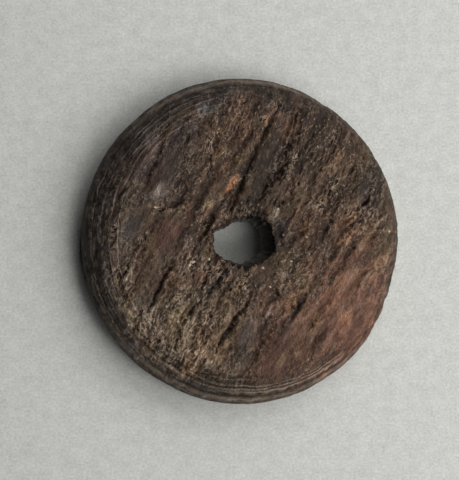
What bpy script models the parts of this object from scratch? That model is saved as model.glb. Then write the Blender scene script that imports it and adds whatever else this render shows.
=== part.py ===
# Pierced bone disc: one flat turned disc of bone with an oval hole, lying on its underside.
# Metres, +Z up. The origin is on the underside, in the middle of the turned rim.
# +X is the long way of the hole. The grain of the bone runs at GRAIN_ANGLE from +X.

import math

import bmesh
import bpy
from mathutils import Matrix, Vector, noise

MM = 0.001

# The turned disc
DISC_DIAMETER = 38.0 * MM
DISC_THICKNESS = 5.9 * MM
WIDEST_HEIGHT = 2.3 * MM  # the widest ring, above the underside
UNDERSIDE_INSET = 1.3 * MM  # from the widest ring in to the flat underside
SHOULDER_INSET = 3.6 * MM  # from the widest ring in to where the upper face turns down
SHOULDER_FULLNESS = 1.5  # 1 is a straight bevel, 2 a quarter ellipse
FACE_FALL = 0.25 * MM  # how much lower the upper face is at its shoulder than at its middle

# The lip and the grooves turned inside it
LIP_WIDTH = 0.75 * MM
GROOVE_WIDTH = 0.36 * MM
GROOVE_DEPTH = 0.24 * MM
FINE_GROOVES = 2
FINE_GROOVE_PITCH = 0.42 * MM
FINE_GROOVE_WIDTH = 0.26 * MM
FINE_GROOVE_DEPTH = 0.08 * MM

# The hole, bored a little off the middle, narrowest at its waist and flared to both faces
HOLE_X = -0.55 * MM
HOLE_Y = -0.25 * MM
HOLE_LENGTH = 6.5 * MM  # waist, along X
HOLE_WIDTH = 5.3 * MM  # waist, along Y
HOLE_FLARE = 0.25 * MM  # how far each rim stands outside the waist
WAIST_HEIGHT = 2.9 * MM
HOLE_BLEND = 2.4 * MM  # how far out into the face the hole's oval shape fades

# Wear on the hole's edge: (direction in degrees, spread in degrees, how far outwards)
HOLE_WEAR = (
    (158, 12, 0.33 * MM),
    (66, 9, 0.16 * MM),
    (20, 8, 0.12 * MM),
    (-39, 14, 0.32 * MM),
    (-88, 6, 0.08 * MM),
)

# Wear on the rim, rubbed flattest on the right: (direction in degrees, spread in degrees, how far inwards)
RIM_WEAR = (
    (-18, 15, 0.30 * MM),
    (-58, 6, 0.07 * MM),
    (-118, 7, 0.10 * MM),
    (60, 5, 0.09 * MM),
    (132, 8, 0.08 * MM),
)

# Weathering of the upper face, with the grain. Places and lengths are shares of the disc's radius.
GRAIN_ANGLE = 57
RELIEF_DEPTH = 0.34 * MM
RELIEF_LENGTH = 0.40
RELIEF_WIDTH = 0.085
# Furrows: (x, y, length, width, depth)
FURROWS = (
    (0.13, 0.58, 0.50, 0.050, 0.30 * MM),
    (0.22, 0.42, 0.55, 0.055, 0.34 * MM),
    (-0.52, -0.28, 0.30, 0.045, 0.28 * MM),
    (-0.13, -0.58, 0.30, 0.045, 0.22 * MM),
    (-0.24, -0.36, 0.34, 0.050, 0.26 * MM),
    (-0.24, 0.09, 0.34, 0.045, 0.20 * MM),
    (0.58, -0.16, 0.34, 0.050, 0.20 * MM),
)
# Open cracks: (x, y, length, degrees from +X)
CRACKS = (
    (0.165, 0.720, 0.26, 61),
    (0.035, 0.475, 0.22, 59),
    (0.320, 0.610, 0.20, 64),
    (0.175, 0.360, 0.34, 54),
    (-0.545, -0.300, 0.28, 65),
    (-0.117, -0.570, 0.27, 57),
    (0.567, 0.331, 0.13, 68),
    (0.760, 0.232, 0.09, 63),
    (-0.267, 0.393, 0.11, 65),
    (-0.235, 0.100, 0.20, 47),
    (-0.270, -0.372, 0.26, 41),
    (0.312, -0.470, 0.12, 38),
)
# The same on the underside, which shows fewer
CRACKS_BELOW = (
    (0.420, 0.300, 0.26, 59),
    (-0.350, 0.420, 0.20, 54),
    (-0.480, -0.220, 0.30, 60),
    (0.180, -0.560, 0.22, 56),
)
CRACK_WIDTH = 0.36 * MM
CRACK_DEPTH = 0.60 * MM

# Mesh
TURN_STEPS = 80
FACE_RINGS = 14
SHOULDER_STEPS = 3
ARC_STEPS = 5
WALL_STEPS = 2
BLADE_SEGMENTS = 12
SMOOTH_ANGLE = 40

RADIUS = DISC_DIAMETER / 2
SHOULDER_RADIUS = RADIUS - SHOULDER_INSET
SHOULDER_HEIGHT = DISC_THICKNESS - FACE_FALL
HOLE_MEAN = (HOLE_LENGTH + HOLE_WIDTH) / 4


def clear_scene():
    for thing in list(bpy.data.objects):
        bpy.data.objects.remove(thing)


def named_collection(name):
    collection = bpy.data.collections.new(name)
    bpy.context.scene.collection.children.link(collection)
    return collection


def bone_material():
    material = bpy.data.materials.new("dark_bone")
    material.use_nodes = True
    shader = material.node_tree.nodes["Principled BSDF"]
    shader.inputs["Base Color"].default_value = (0.105, 0.070, 0.050, 1)
    shader.inputs["Roughness"].default_value = 0.62
    shader.inputs["Metallic"].default_value = 0.0
    return material


def bump(distance, spread):
    # A smooth hump, 1 in its middle
    return math.exp(-((distance / spread) ** 2))


def wear(angle, table):
    # How far the listed wear moves an edge at this angle, in radians
    moved = 0
    for direction, spread, distance in table:
        away = (math.degrees(angle) - direction + 180) % 360 - 180
        moved += distance * bump(away, spread)
    return moved


def edge_point(inset, sink=0.0):
    # A point on the turned edge, INSET in from the widest ring, sunk inwards along the surface's normal
    reach = SHOULDER_INSET
    rise = SHOULDER_HEIGHT - WIDEST_HEIGHT
    across = (1 - inset / reach) ** SHOULDER_FULLNESS
    height = WIDEST_HEIGHT + rise * (1 - across) ** (1 / SHOULDER_FULLNESS)
    slope = math.atan2(rise, reach)
    return (
        RADIUS - inset - sink * math.sin(slope),
        height - sink * math.cos(slope),
    )


def groove_points(middle, width, depth):
    # Listed from the inner edge of the groove to the outer one
    half = width / 2
    return [edge_point(middle + half), edge_point(middle, depth), edge_point(middle - half)]


def turned_profile():
    # A closed loop of (radius, height): out over the face, down the edge, in below, up the hole
    flare = HOLE_MEAN + HOLE_FLARE
    points = []
    for ring in range(FACE_RINGS):
        radius = flare + (SHOULDER_RADIUS - flare) * ring / FACE_RINGS
        points.append((radius, DISC_THICKNESS - FACE_FALL * (radius / SHOULDER_RADIUS) ** 2))
    points.append(edge_point(SHOULDER_INSET))

    first_fine = LIP_WIDTH + GROOVE_WIDTH + FINE_GROOVE_PITCH / 2
    innermost = first_fine + FINE_GROOVES * FINE_GROOVE_PITCH
    for step in range(1, SHOULDER_STEPS):
        share = step / SHOULDER_STEPS
        points.append(edge_point(SHOULDER_INSET + (innermost - SHOULDER_INSET) * share))
    for groove in reversed(range(FINE_GROOVES)):
        middle = first_fine + groove * FINE_GROOVE_PITCH
        points += groove_points(middle, FINE_GROOVE_WIDTH, FINE_GROOVE_DEPTH)
    points += groove_points(LIP_WIDTH + GROOVE_WIDTH / 2, GROOVE_WIDTH, GROOVE_DEPTH)
    for step in range(1, ARC_STEPS):
        lean = 1 - step / ARC_STEPS
        points.append(edge_point(LIP_WIDTH * lean * lean))

    for step in range(ARC_STEPS + 1):
        turn = math.pi / 2 * step / ARC_STEPS
        radius = RADIUS - UNDERSIDE_INSET * (1 - math.cos(turn))
        points.append((radius, WIDEST_HEIGHT * (1 - math.sin(turn))))

    points.append((flare + HOLE_BLEND, 0))
    points.append((flare, 0))
    for step in range(1, 2 * WALL_STEPS):
        lean = step / WALL_STEPS - 1  # -1 at the lower rim, 0 at the waist, 1 at the upper rim
        reach = WAIST_HEIGHT if lean < 0 else DISC_THICKNESS - WAIST_HEIGHT
        points.append((HOLE_MEAN + HOLE_FLARE * lean * lean, WAIST_HEIGHT + reach * lean))
    return points


def turned_mesh():
    profile = bpy.data.meshes.new("disc_profile")
    lathe = bmesh.new()
    ring = [lathe.verts.new((radius, 0, height)) for radius, height in turned_profile()]
    for here, there in zip(ring, ring[1:] + ring[:1]):
        lathe.edges.new((here, there))
    lathe.to_mesh(profile)
    lathe.free()

    blank = bpy.data.objects.new("disc_profile", profile)
    bpy.context.scene.collection.objects.link(blank)
    screw = blank.modifiers.new("turn", "SCREW")
    screw.axis = "Z"
    screw.angle = math.tau
    screw.steps = screw.render_steps = TURN_STEPS
    screw.use_merge_vertices = True
    screw.merge_threshold = 0.00001
    turned = bpy.data.meshes.new_from_object(blank.evaluated_get(bpy.context.evaluated_depsgraph_get()))
    bpy.data.objects.remove(blank)
    return turned


def hole_radius(angle, half_length, half_width):
    along = half_width * math.cos(angle)
    across = half_length * math.sin(angle)
    return half_length * half_width / math.hypot(along, across) + wear(angle, HOLE_WEAR)


def shape_hole(point):
    # Turns the round hole of the lathe into the worn oval off the middle, fading out into the face
    radius = math.hypot(point.x, point.y)
    angle = math.atan2(point.y, point.x)
    flare = HOLE_FLARE
    target = hole_radius(angle, HOLE_LENGTH / 2 + flare, HOLE_WIDTH / 2 + flare) - flare
    fade = min(1, max(0, (HOLE_MEAN + flare + HOLE_BLEND - radius) / HOLE_BLEND))
    stretch = (radius + (target - HOLE_MEAN) * fade) / radius
    return Vector((
        point.x * stretch + HOLE_X * fade,
        point.y * stretch + HOLE_Y * fade,
        point.z,
    ))


def rub_rim(point):
    # Rubs the worn stretches of the rim, without moving anything inside its shoulder
    radius = math.hypot(point.x, point.y)
    fade = min(1, max(0, (radius - SHOULDER_RADIUS) / SHOULDER_INSET))
    shrink = 1 - fade * wear(math.atan2(point.y, point.x), RIM_WEAR) / radius
    return Vector((point.x * shrink, point.y * shrink, point.z))


def with_grain(x, y):
    # The same place measured along and across the grain
    grain = math.radians(GRAIN_ANGLE)
    return (
        x * math.cos(grain) + y * math.sin(grain),
        y * math.cos(grain) - x * math.sin(grain),
    )


def face_relief(point):
    # How far weathering has lowered the upper face here
    along, across = with_grain(point.x, point.y)
    place = Vector((along / (RELIEF_LENGTH * RADIUS), across / (RELIEF_WIDTH * RADIUS), 0))
    depth = RELIEF_DEPTH * (0.5 + 0.5 * noise.noise(place))
    for x, y, length, width, drop in FURROWS:
        middle_along, middle_across = with_grain(x * RADIUS, y * RADIUS)
        reach = bump(along - middle_along, length * RADIUS / 2)
        depth += drop * reach * bump(across - middle_across, width * RADIUS)
    return depth


def weather_face(point):
    radius = math.hypot(point.x, point.y)
    if point.z < (WIDEST_HEIGHT + DISC_THICKNESS) / 2:
        return point
    turned_zone = LIP_WIDTH + GROOVE_WIDTH + (FINE_GROOVES + 1) * FINE_GROOVE_PITCH
    fade = min(1, max(0, (RADIUS - turned_zone - radius) / (SHOULDER_INSET - turned_zone)))
    return point - Vector((0, 0, fade * face_relief(point)))


def face_height(x, y):
    # The upper face at this place, weathered
    fall = FACE_FALL * (math.hypot(x, y) / SHOULDER_RADIUS) ** 2
    return DISC_THICKNESS - fall - face_relief(Vector((x, y, 0)))


def add_blade(blades, x, y, height, length, degrees):
    # One slim boat-shaped blade, half of it outside the face
    place = Matrix.Translation((x, y, height))
    turn = Matrix.Rotation(math.radians(degrees), 4, "Z")
    size = Matrix.Diagonal((length / 2, CRACK_WIDTH / 2, CRACK_DEPTH, 1))
    bmesh.ops.create_uvsphere(
        blades,
        u_segments=BLADE_SEGMENTS,
        v_segments=BLADE_SEGMENTS // 2,
        radius=1,
        matrix=place @ turn @ size,
    )


def crack_cutter(cutters):
    blades = bmesh.new()
    for x, y, length, degrees in CRACKS:
        height = face_height(x * RADIUS, y * RADIUS)
        add_blade(blades, x * RADIUS, y * RADIUS, height, length * RADIUS, degrees)
    for x, y, length, degrees in CRACKS_BELOW:
        add_blade(blades, x * RADIUS, y * RADIUS, 0, length * RADIUS, degrees)
    mesh = bpy.data.meshes.new("crack_blades")
    blades.to_mesh(mesh)
    blades.free()
    cutter = bpy.data.objects.new("crack_blades", mesh)
    cutter.hide_render = True
    cutter.display_type = "WIRE"
    cutters.objects.link(cutter)
    return cutter


def bone_disc(parts, cutters):
    mesh = turned_mesh()
    for vertex in mesh.vertices:
        vertex.co = weather_face(rub_rim(shape_hole(vertex.co)))
    mesh.name = "bone_disc"
    mesh.materials.append(bone_material())
    mesh.shade_smooth()
    mesh.set_sharp_from_angle(angle=math.radians(SMOOTH_ANGLE))
    disc = bpy.data.objects.new("bone_disc", mesh)
    parts.objects.link(disc)
    cracks = disc.modifiers.new("cracks", "BOOLEAN")
    cracks.operation = "DIFFERENCE"
    cracks.solver = "EXACT"
    cracks.object = crack_cutter(cutters)
    return disc


clear_scene()
bone_disc(named_collection("pierced_bone_disc"), named_collection("cutters"))
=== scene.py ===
# Pierced bone disc, dressed: one turned piece of dark weathered bone on a plain pale floor.
# The relief is cut into a dense turned mesh by the functions below, and the colours are shader nodes.
import math

import bmesh
import bpy
import numpy as np
from mathutils import Matrix, Vector, kdtree, noise


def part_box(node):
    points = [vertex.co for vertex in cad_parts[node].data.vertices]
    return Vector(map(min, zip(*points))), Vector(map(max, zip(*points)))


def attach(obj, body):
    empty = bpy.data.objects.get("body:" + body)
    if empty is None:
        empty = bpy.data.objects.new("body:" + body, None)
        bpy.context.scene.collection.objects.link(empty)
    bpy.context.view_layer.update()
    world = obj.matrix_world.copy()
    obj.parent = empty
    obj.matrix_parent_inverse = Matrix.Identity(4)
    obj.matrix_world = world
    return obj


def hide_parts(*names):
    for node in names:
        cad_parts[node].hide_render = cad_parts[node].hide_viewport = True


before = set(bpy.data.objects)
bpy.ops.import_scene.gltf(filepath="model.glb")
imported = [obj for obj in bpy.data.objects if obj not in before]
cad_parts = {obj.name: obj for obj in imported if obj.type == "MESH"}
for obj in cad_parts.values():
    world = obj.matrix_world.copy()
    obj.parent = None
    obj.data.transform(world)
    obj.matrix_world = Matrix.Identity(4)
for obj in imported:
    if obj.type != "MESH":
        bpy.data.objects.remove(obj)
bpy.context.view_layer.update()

mm = 0.001
low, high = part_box("bone_disc")
radius = (high.y - low.y) / 2
thickness = high.z


# The blank: the disc as it came off the lathe

blank = {
    "turnSteps": 232,            # points round the hole
    "splits": (5.0 * mm, 12.0 * mm),    # from each of these outwards there are twice as many
    "sameRing": 0.04 * mm,       # points no further apart than this belong to one ring
    "faceStep": 0.16 * mm,       # spacing of the rings on the face
    "turnedStep": 0.14 * mm,     # on the turned edge
    "lipStep": 0.09 * mm,        # on its outer part, where the groove runs
    "lipInset": 1.3 * mm,
    "lipCrowding": 0.6,          # below 1, the lip's points crowd towards the widest ring
    "drawn": {"face": 50, "edge": 60, "lip": 150, "flank": 50, "wall": 60},    # points before they are spaced
    "flankStep": 0.25 * mm,      # under the widest ring
    "plainStep": 0.80 * mm,      # underside
    "wallStep": 0.28 * mm,       # in the hole
    "widestHeight": 2.3 * mm,
    "undersideInset": 1.3 * mm,
    "shoulderInset": 3.6 * mm,
    "shoulderFullness": 1.5,     # 1 is a straight bevel, 2 a quarter ellipse
    "faceFall": 0.25 * mm,       # the face is this much lower at its shoulder
}

hole = {
    "x": -0.55 * mm,
    "y": -0.25 * mm,
    "length": 6.2 * mm,          # at the waist, along X
    "width": 4.9 * mm,
    "flare": 0.40 * mm,
    "waistHeight": 2.9 * mm,
    "blend": 2.4 * mm,
    "ragged": 0.22 * mm,
    "fineRagged": 0.11 * mm,
    # direction and spread in degrees, distance outwards in millimetres
    "wear": [
        (160, 8, 0.18), (176, 9, -0.10), (138, 10, -0.42), (124, 6, -0.24), (109, 4, 0.32), (100, 5, -0.06),
        (84, 8, -0.10), (62, 9, 0.16), (38, 9, 0.10), (4, 16, -0.16), (-40, 13, -0.26), (-64, 8, -0.16),
        (-84, 4, 0.34), (-97, 5, -0.16), (-116, 8, -0.34), (-134, 8, -0.14), (-150, 7, -0.06),
    ],
    "round": [(20, 60, 0.42), (75, 24, 0.30)],    # how far the upper rim is worn down, in the same way
    "roundWidth": 0.75 * mm,
    "shadingRadius": 4.3 * mm,     # the painted shade and light of the hole's wall end here
}
holeMean = (hole["length"] + hole["width"]) / 4

rim = {
    "ripple": 0.055 * mm,
    "fineRipple": 0.0385 * mm,
    "dense": 0.62,               # how dense the turned band is, from 0 to 1
    "bandWidth": (3.4 * mm, 1.4 * mm),    # the face gives way to the turned band between these insets
    # where the turned marks are worn away: direction and spread in degrees, how far
    "worn": [(-22, 22, 1.0), (28, 26, 0.8), (70, 16, 0.5), (-134, 14, 0.6), (180, 34, 0.85)],
    # where the turned band is narrower, in the same way
    "narrow": [(28, 44, 1.9), (-28, 24, 1.1), (-128, 20, 1.3)],
    # direction and spread in degrees, distance inwards in millimetres
    "wear": [
        (-18, 15, 0.32), (-58, 6, 0.07), (-118, 7, 0.10), (60, 5, 0.09), (132, 8, 0.08), (59, 1.3, 0.08),
        (50, 1.2, 0.09), (32, 1.2, 0.10), (-31, 1.4, 0.09), (-22, 1.2, 0.10), (-12, 1.5, 0.08),
    ],
}


def bump(distance, spread):
    return np.exp(-((distance / spread) ** 2))


def ease(value, low, high):
    # 0 below low, 1 above high, smooth between
    t = np.clip((value - low) / (high - low), 0, 1)
    return t * t * (3 - 2 * t)


def wearAt(angle, table):
    moved = np.zeros_like(angle)
    for direction, spread, distance in table:
        away = (np.degrees(angle) - direction + 180) % 360 - 180
        moved += distance * mm * bump(away, spread)
    return moved


def holeEdge(angle, flare):
    # Distance from the hole's middle to its wall, before its ragged teeth
    a, b = hole["length"] / 2 + flare, hole["width"] / 2 + flare
    return a * b / np.hypot(b * np.cos(angle), a * np.sin(angle)) - flare + wearAt(angle, hole["wear"])


def edgeHeight(inset):
    rise = thickness - blank["faceFall"] - blank["widestHeight"]
    across = np.clip(1 - inset / blank["shoulderInset"], 0, 1) ** blank["shoulderFullness"]
    return blank["widestHeight"] + rise * (1 - across) ** (1 / blank["shoulderFullness"])


def evenly(line, step):
    # The same line with points spaced evenly along it
    run = np.concatenate(([0], np.cumsum(np.hypot(*np.diff(line, axis=0).T))))
    places = np.linspace(0, run[-1], max(2, round(run[-1] / step) + 1))
    return np.stack([np.interp(places, run, line[:, 0]), np.interp(places, run, line[:, 1])], 1)


def profileLoop():
    # Out over the face, down the edge, in below and up through the hole
    drawn = blank["drawn"]
    lipStart = holeMean + hole["flare"]
    shoulder = radius - blank["shoulderInset"]
    out = np.linspace(lipStart, shoulder, drawn["face"])
    face = np.stack([out, thickness - blank["faceFall"] * (out / shoulder) ** 2], 1)
    upper = np.linspace(blank["shoulderInset"], blank["lipInset"], drawn["edge"])
    lower = blank["lipInset"] * (1 - np.linspace(0, 1, drawn["lip"]) ** blank["lipCrowding"])
    turn = np.linspace(0, math.pi / 2, drawn["flank"])
    flank = np.stack([
        radius - blank["undersideInset"] * (1 - np.cos(turn)),
        blank["widestHeight"] * (1 - np.sin(turn)),
    ], 1)
    under = np.array([(flank[-1, 0], 0), (lipStart, 0)])
    lean = np.linspace(-1, 1, drawn["wall"])
    reach = np.where(lean < 0, hole["waistHeight"], thickness - hole["waistHeight"])
    wall = np.stack([holeMean + hole["flare"] * lean ** 2, hole["waistHeight"] + reach * lean], 1)
    parts = [
        evenly(face, blank["faceStep"]),
        evenly(np.stack([radius - upper, edgeHeight(upper)], 1), blank["turnedStep"]),
        evenly(np.stack([radius - lower, edgeHeight(lower)], 1), blank["lipStep"]),
        evenly(flank, blank["flankStep"]),
        evenly(under, blank["plainStep"]),
        evenly(wall, blank["wallStep"]),
    ]
    return np.concatenate([part[:-1] for part in parts])


def turnBlank():
    line = profileLoop()
    bm = bmesh.new()
    verts = [bm.verts.new((r, 0, z)) for r, z in line]
    edges = [bm.edges.new(pair) for pair in zip(verts, verts[1:] + verts[:1])]
    bmesh.ops.spin(
        bm, geom=verts + edges, cent=(0, 0, 0), axis=(0, 0, 1),
        angle=math.tau, steps=blank["turnSteps"], use_merge=True,
    )
    tiny = 0.001 * mm
    bmesh.ops.remove_doubles(bm, verts=bm.verts, dist=tiny)
    for split in blank["splits"]:
        around = []
        for edge in bm.edges:
            a, b = (v.co for v in edge.verts)
            level = abs(a.z - b.z) < tiny and abs(a.xy.length - b.xy.length) < blank["sameRing"]
            if level and a.z > blank["widestHeight"] + tiny and a.xy.length > split:
                around.append(edge)
        bmesh.ops.subdivide_edges(bm, edges=around, cuts=1)
    # the split edges are chords: every point goes back out to its own ring
    for v in bm.verts:
        if v.co.z > blank["widestHeight"] + tiny:
            ring = line[np.argmin(np.abs(line[:, 1] - v.co.z) + np.abs(line[:, 0] - v.co.xy.length))]
            v.co.xy = v.co.xy.normalized() * ring[0]
    bmesh.ops.recalc_face_normals(bm, faces=bm.faces)
    mesh = bpy.data.meshes.new("bone_disc_worn")
    bm.to_mesh(mesh)
    triangles = sum(len(face.verts) - 2 for face in bm.faces)
    bm.free()
    print("blank turned:", len(mesh.vertices), "points,", triangles, "triangles")
    return mesh


# Weathering, as fields over the disc

grain = {"angle": 57, "waver": 0.5 * mm, "waverSize": (6 * mm, 4 * mm)}

# Each kind of unevenness: its depth, and its size along and across the grain
relief = {
    "broad": (0.42 * mm, (8.0 * mm, 2.6 * mm)),
    "lumps": (0.19 * mm, (3.4 * mm, 1.15 * mm)),
    "strips": (0.10 * mm, (5.0 * mm, 0.90 * mm)),
    "threads": (0.07 * mm, (1.5 * mm, 0.80 * mm)),
    "cells": (0.20 * mm, (1.20 * mm, 0.75 * mm)),
    "smallCells": (0.12 * mm, (0.45 * mm, 0.36 * mm)),
    "crumbs": (0.075 * mm, (0.60 * mm, 0.40 * mm)),
    "swirl": (0.50 * mm, (1.6 * mm, 1.1 * mm)),          # not a depth: how far this bends the others aside
    "smallSwirl": (0.20 * mm, (0.6 * mm, 0.5 * mm)),
    "threadPatches": (1.0, (3.4 * mm, 2.2 * mm)),        # shares: where there are threads, and where cells
    "cellPatches": (0.45, (3.0 * mm, 1.8 * mm)),
}

turnedRelief = {
    "lumps": 0.12 * mm,
    "rings": 0.035 * mm,
    "ringPitch": 0.20 * mm,
    "lumpPitch": 0.8 * mm,
    "grooveInset": 0.78 * mm,
    "grooveWidth": 0.34 * mm,
    "grooveDepth": 0.20 * mm,
    "grooveWander": (0.07 * mm, 0.05 * mm),
}

# Where the surface is still dense and smooth: x, y, length along the grain, width, in millimetres
denseZones = [
    (11.2, -8.8, 9, 5), (3, -14.2, 5, 3), (-9.6, 0.6, 3.2, 2.2), (-9.9, 8.2, 4.8, 2.2),
    (2.1, 10.4, 4.6, 1.5), (-0.7, -10.9, 2.8, 1.3), (12, -4.6, 4, 2.6), (-13.6, 1.6, 3, 1.6),
    (-13.4, 9.8, 4.6, 3.2), (13.6, 6.2, 2.4, 1.2), (-11.6, -4.7, 5.2, 2), (6, -11.5, 3.8, 2.8),
    (-4, 6.2, 2.2, 1.4), (0.8, 6.4, 3.4, 1.5), (-12.6, 3, 2.2, 1.6),
]

# Where spongy bone shows as open cells, in the same way
spongyZones = [
    (-10.6, -11.4, 4, 7), (-14.6, -7.4, 5, 2.4), (-4.4, -3.2, 2, 3.2), (13.2, 2.2, 4, 2.8),
    (-4.5, 11, 2.4, 1.3), (8.6, 4, 2, 1.4), (10.2, 6.5, 1.4, 1.2), (-0.5, -5.1, 2, 1.8),
    (4.8, -3.9, 2.8, 1.6), (2.4, 14.5, 1.4, 1), (-5.4, -9.6, 4, 2.6), (-11.1, 3.9, 1.4, 1),
    (-12.6, 7.6, 2.4, 1), (5.4, 9.6, 1.8, 0.8), (-15.2, -3.4, 4, 1.8), (-15.9, 0.8, 2.8, 1.1),
    (15.8, 1.8, 2.6, 1.2), (-7.4, -13.2, 4, 3), (-12.4, -9.4, 5, 3.4), (-6.8, -2.6, 2.4, 1.6),
    (-8.6, -7.2, 3.4, 1.8),
]

# x, y, length, width, depth in millimetres, degrees from +X
cracks = [
    (3.68, 15.56, 2.8, 0.26, 0.24, 52), (1.95, 12.6, 5.2, 0.28, 0.24, 64), (0.58, 9.8, 2.6, 0.28, 0.2, 66),
    (-0.6, 7.2, 3.4, 0.28, 0.14, 68), (-1.9, 3.9, 2.4, 0.26, 0.28, 57), (-0.3, 4.6, 1.6, 0.34, 0.24, 77),
    (0.64, 15, 2.2, 0.24, 0.18, 68), (-2, 11.65, 2.4, 0.24, 0.18, 52), (5.6, 14, 2.4, 0.26, 0.22, 74),
    (4.7, 11.2, 3.4, 0.24, 0.18, 66), (2.8, 6.4, 4.6, 0.3, 0.18, 50), (-10.35, -5.3, 5.8, 0.36, 0.38, 63.5),
    (-1.9, 3.8, 2.2, 0.26, 0.3, 66), (-5.3, 1.8, 1.4, 0.24, 0.24, 58), (-2.6, -10.5, 6.2, 0.42, 0.42, 59),
    (-0.6, -8, 2.4, 0.24, 0.2, 55), (9.8, 5.8, 2.5, 0.36, 0.5, 72), (14.2, 4.7, 2.2, 0.34, 0.34, 60),
    (14.6, 6.2, 1.8, 0.24, 0.16, 84), (-4.8, 7.85, 2.5, 0.3, 0.32, 68), (-5, 1, 3.4, 0.26, 0.22, 58),
    (10.6, -3.6, 4, 0.26, 0.14, 59), (5.8, -8, 3.4, 0.34, 0.22, 58), (-4.1, -5.3, 3.6, 0.34, 0.24, 52),
    (-6.6, -8.2, 3.6, 0.28, 0.3, 49), (-11.9, 7.5, 1.8, 0.24, 0.14, 66), (-8.5, 4.1, 3.6, 0.22, 0.2, 25),
    (9.3, 1.6, 3.4, 0.3, 0.18, 69), (7.9, -11.3, 2.4, 0.3, 0.12, 54), (5, -3.1, 2, 0.22, 0.18, 75),
    (8.3, 9.2, 3, 0.24, 0.2, 56), (12.6, 12.4, 1.8, 0.22, 0.16, 62), (7.2, 11.6, 2.6, 0.22, 0.18, 64),
    (-7.6, 9.4, 2.2, 0.22, 0.2, 60), (3.4, 0.9, 1.8, 0.24, 0.2, 64), (7, -1.4, 2.4, 0.24, 0.18, 58),
    (-13.4, -3.4, 2, 0.22, 0.16, 70), (6.9, 4.6, 3, 0.3, 0.24, 52), (-7.8, -2.2, 2.2, 0.26, 0.2, 55),
    (12.6, 8.4, 2.4, 0.34, 0.24, 50), (-12.9, 4.2, 2.2, 0.22, 0.14, 70), (12, 1, 2.4, 0.28, 0.24, 46),
    (5, 2.6, 2.6, 0.3, 0.24, 60), (-8.6, -12, 2, 0.36, 0.26, 60), (-3.6, -3.4, 2.4, 0.3, 0.24, 50),
    (-7.2, 11.6, 2.4, 0.34, 0.2, 62),
]

furrows = [
    (1.9, 12.3, 6.8, 1.5, 0.3, 60), (-0.5, 7.6, 6, 1.6, 0.4, 69), (4.9, 11, 6.4, 1.6, 0.3, 62),
    (2.5, 6.7, 6.6, 2.4, 0.46, 51), (-10.4, -5.3, 7, 3, 0.5, 63.5), (-2.2, -10.1, 7.4, 1.3, 0.28, 58),
    (0.9, 2.8, 2.8, 1.5, 0.55, 4), (2.2, 1.9, 2.2, 1.5, 0.45, 130), (3.7, 0.4, 2.8, 1.6, 0.4, 100),
    (-4, -5.1, 5, 2.4, 0.44, 54), (-6.6, -8.2, 5, 1.3, 0.3, 52), (-5, 1.2, 6, 1.3, 0.3, 58),
    (10.6, -3.5, 5, 1, 0.18, 58), (5.8, -7.9, 4.4, 1.4, 0.22, 56), (9.5, 2, 6.4, 1.4, 0.2, 66),
    (14.3, 5.4, 4, 1.2, 0.16, 74), (-11, 9, 6, 0.9, 0.16, 66), (-8.5, 4, 4.4, 1.2, 0.22, 25),
    (7.6, 7.4, 4.6, 1, 0.16, 54),
]

# Steps where a layer has flaked off: x, y, length, width of the lower side, depth, direction of the edge
ledges = [
    (-9, 3.7, 5, 2.6, 0.22, 16), (-12.2, -9, 4, 2.4, 0.2, 110), (-5.6, -5.2, 4.6, 2.2, 0.22, 48),
    (3.6, 12, 5, 1.6, 0.16, 240), (-7.6, -9.6, 4.2, 2, 0.18, 60), (6.8, 1.6, 4, 1.8, 0.16, 65),
    (-3, 5, 4, 1.6, 0.14, 235), (13.2, 3, 3.6, 1.6, 0.14, 60), (3.4, -6.4, 3.6, 1.8, 0.16, 45),
]

# Open pores seen one by one: x, y, radius, depth in millimetres
pores = [
    (11.67, 3.25, 0.16, 0.2), (15.19, 2.24, 0.15, 0.2), (14.7, 2.8, 0.12, 0.16), (15.5, 1.5, 0.13, 0.16),
    (-9.84, -11.21, 0.13, 0.24), (-10.07, -12.12, 0.1, 0.18), (-11.12, -13.83, 0.12, 0.16),
    (-4.92, -2.66, 0.28, 0.14), (-3.27, -2.66, 0.26, 0.18), (-6, -10.9, 0.13, 0.2), (3.4, -6.2, 0.2, 0.26),
    (5.2, -7.7, 0.15, 0.2), (8, -9.3, 0.13, 0.18), (-8.1, -5, 0.22, 0.16), (9.6, 6.2, 0.2, 0.26),
    (5.9, 6.6, 0.2, 0.24), (12.6, -0.8, 0.2, 0.24), (-12.6, -9.8, 0.14, 0.18), (4, 4.4, 0.2, 0.24),
    (-2.7, -2.3, 0.24, 0.34), (-1.95, -2.62, 0.24, 0.34), (-1.2, -2.95, 0.24, 0.34),
    (2.9, 2.94, 0.16, 0.24), (-7.6, -9.2, 0.16, 0.26), (-5, -11.1, 0.15, 0.26), (-10.2, -9, 0.14, 0.22),
    (10.5, 6.9, 0.16, 0.26), (-3.5, -12, 0.14, 0.24), (-2.2, -5.7, 0.16, 0.24), (-1.5, -4.9, 0.16, 0.24),
    (-1.9, -9.9, 0.15, 0.24), (-1.1, -8.5, 0.14, 0.22), (-9.4, -3.2, 0.13, 0.2), (1.6, -8.7, 0.14, 0.22),
    (13.7, 4.1, 0.15, 0.24),
]

# White grains lodged in the surface, and painted highlights among them: x, y, radius
whiteGrainsAndGlints = [
    (-7, -2.9, 0.13), (-6.48, -2.52, 0.13), (-4.72, -2.18, 0.12), (-3.2, -2.36, 0.09), (1.72, -3.22, 0.1),
    (-11, 3.72, 0.13), (3.38, 3.6, 0.11), (2.5, -5.3, 0.09), (-0.5, -5.5, 0.09), (6.9, 0.4, 0.09),
    (10.6, 5.5, 0.09), (10.1, 6.3, 0.08), (-9.7, -7.6, 0.1), (-14, -9.7, 0.09), (5.1, -2.4, 0.08),
    (-8.3, -9.3, 0.09), (17.2, 1.2, 0.1),
]
grainRise = 0.05 * mm
smoothRounds = {"near": 8, "far": 60}    # what stands out from its surroundings is told apart by these

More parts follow.
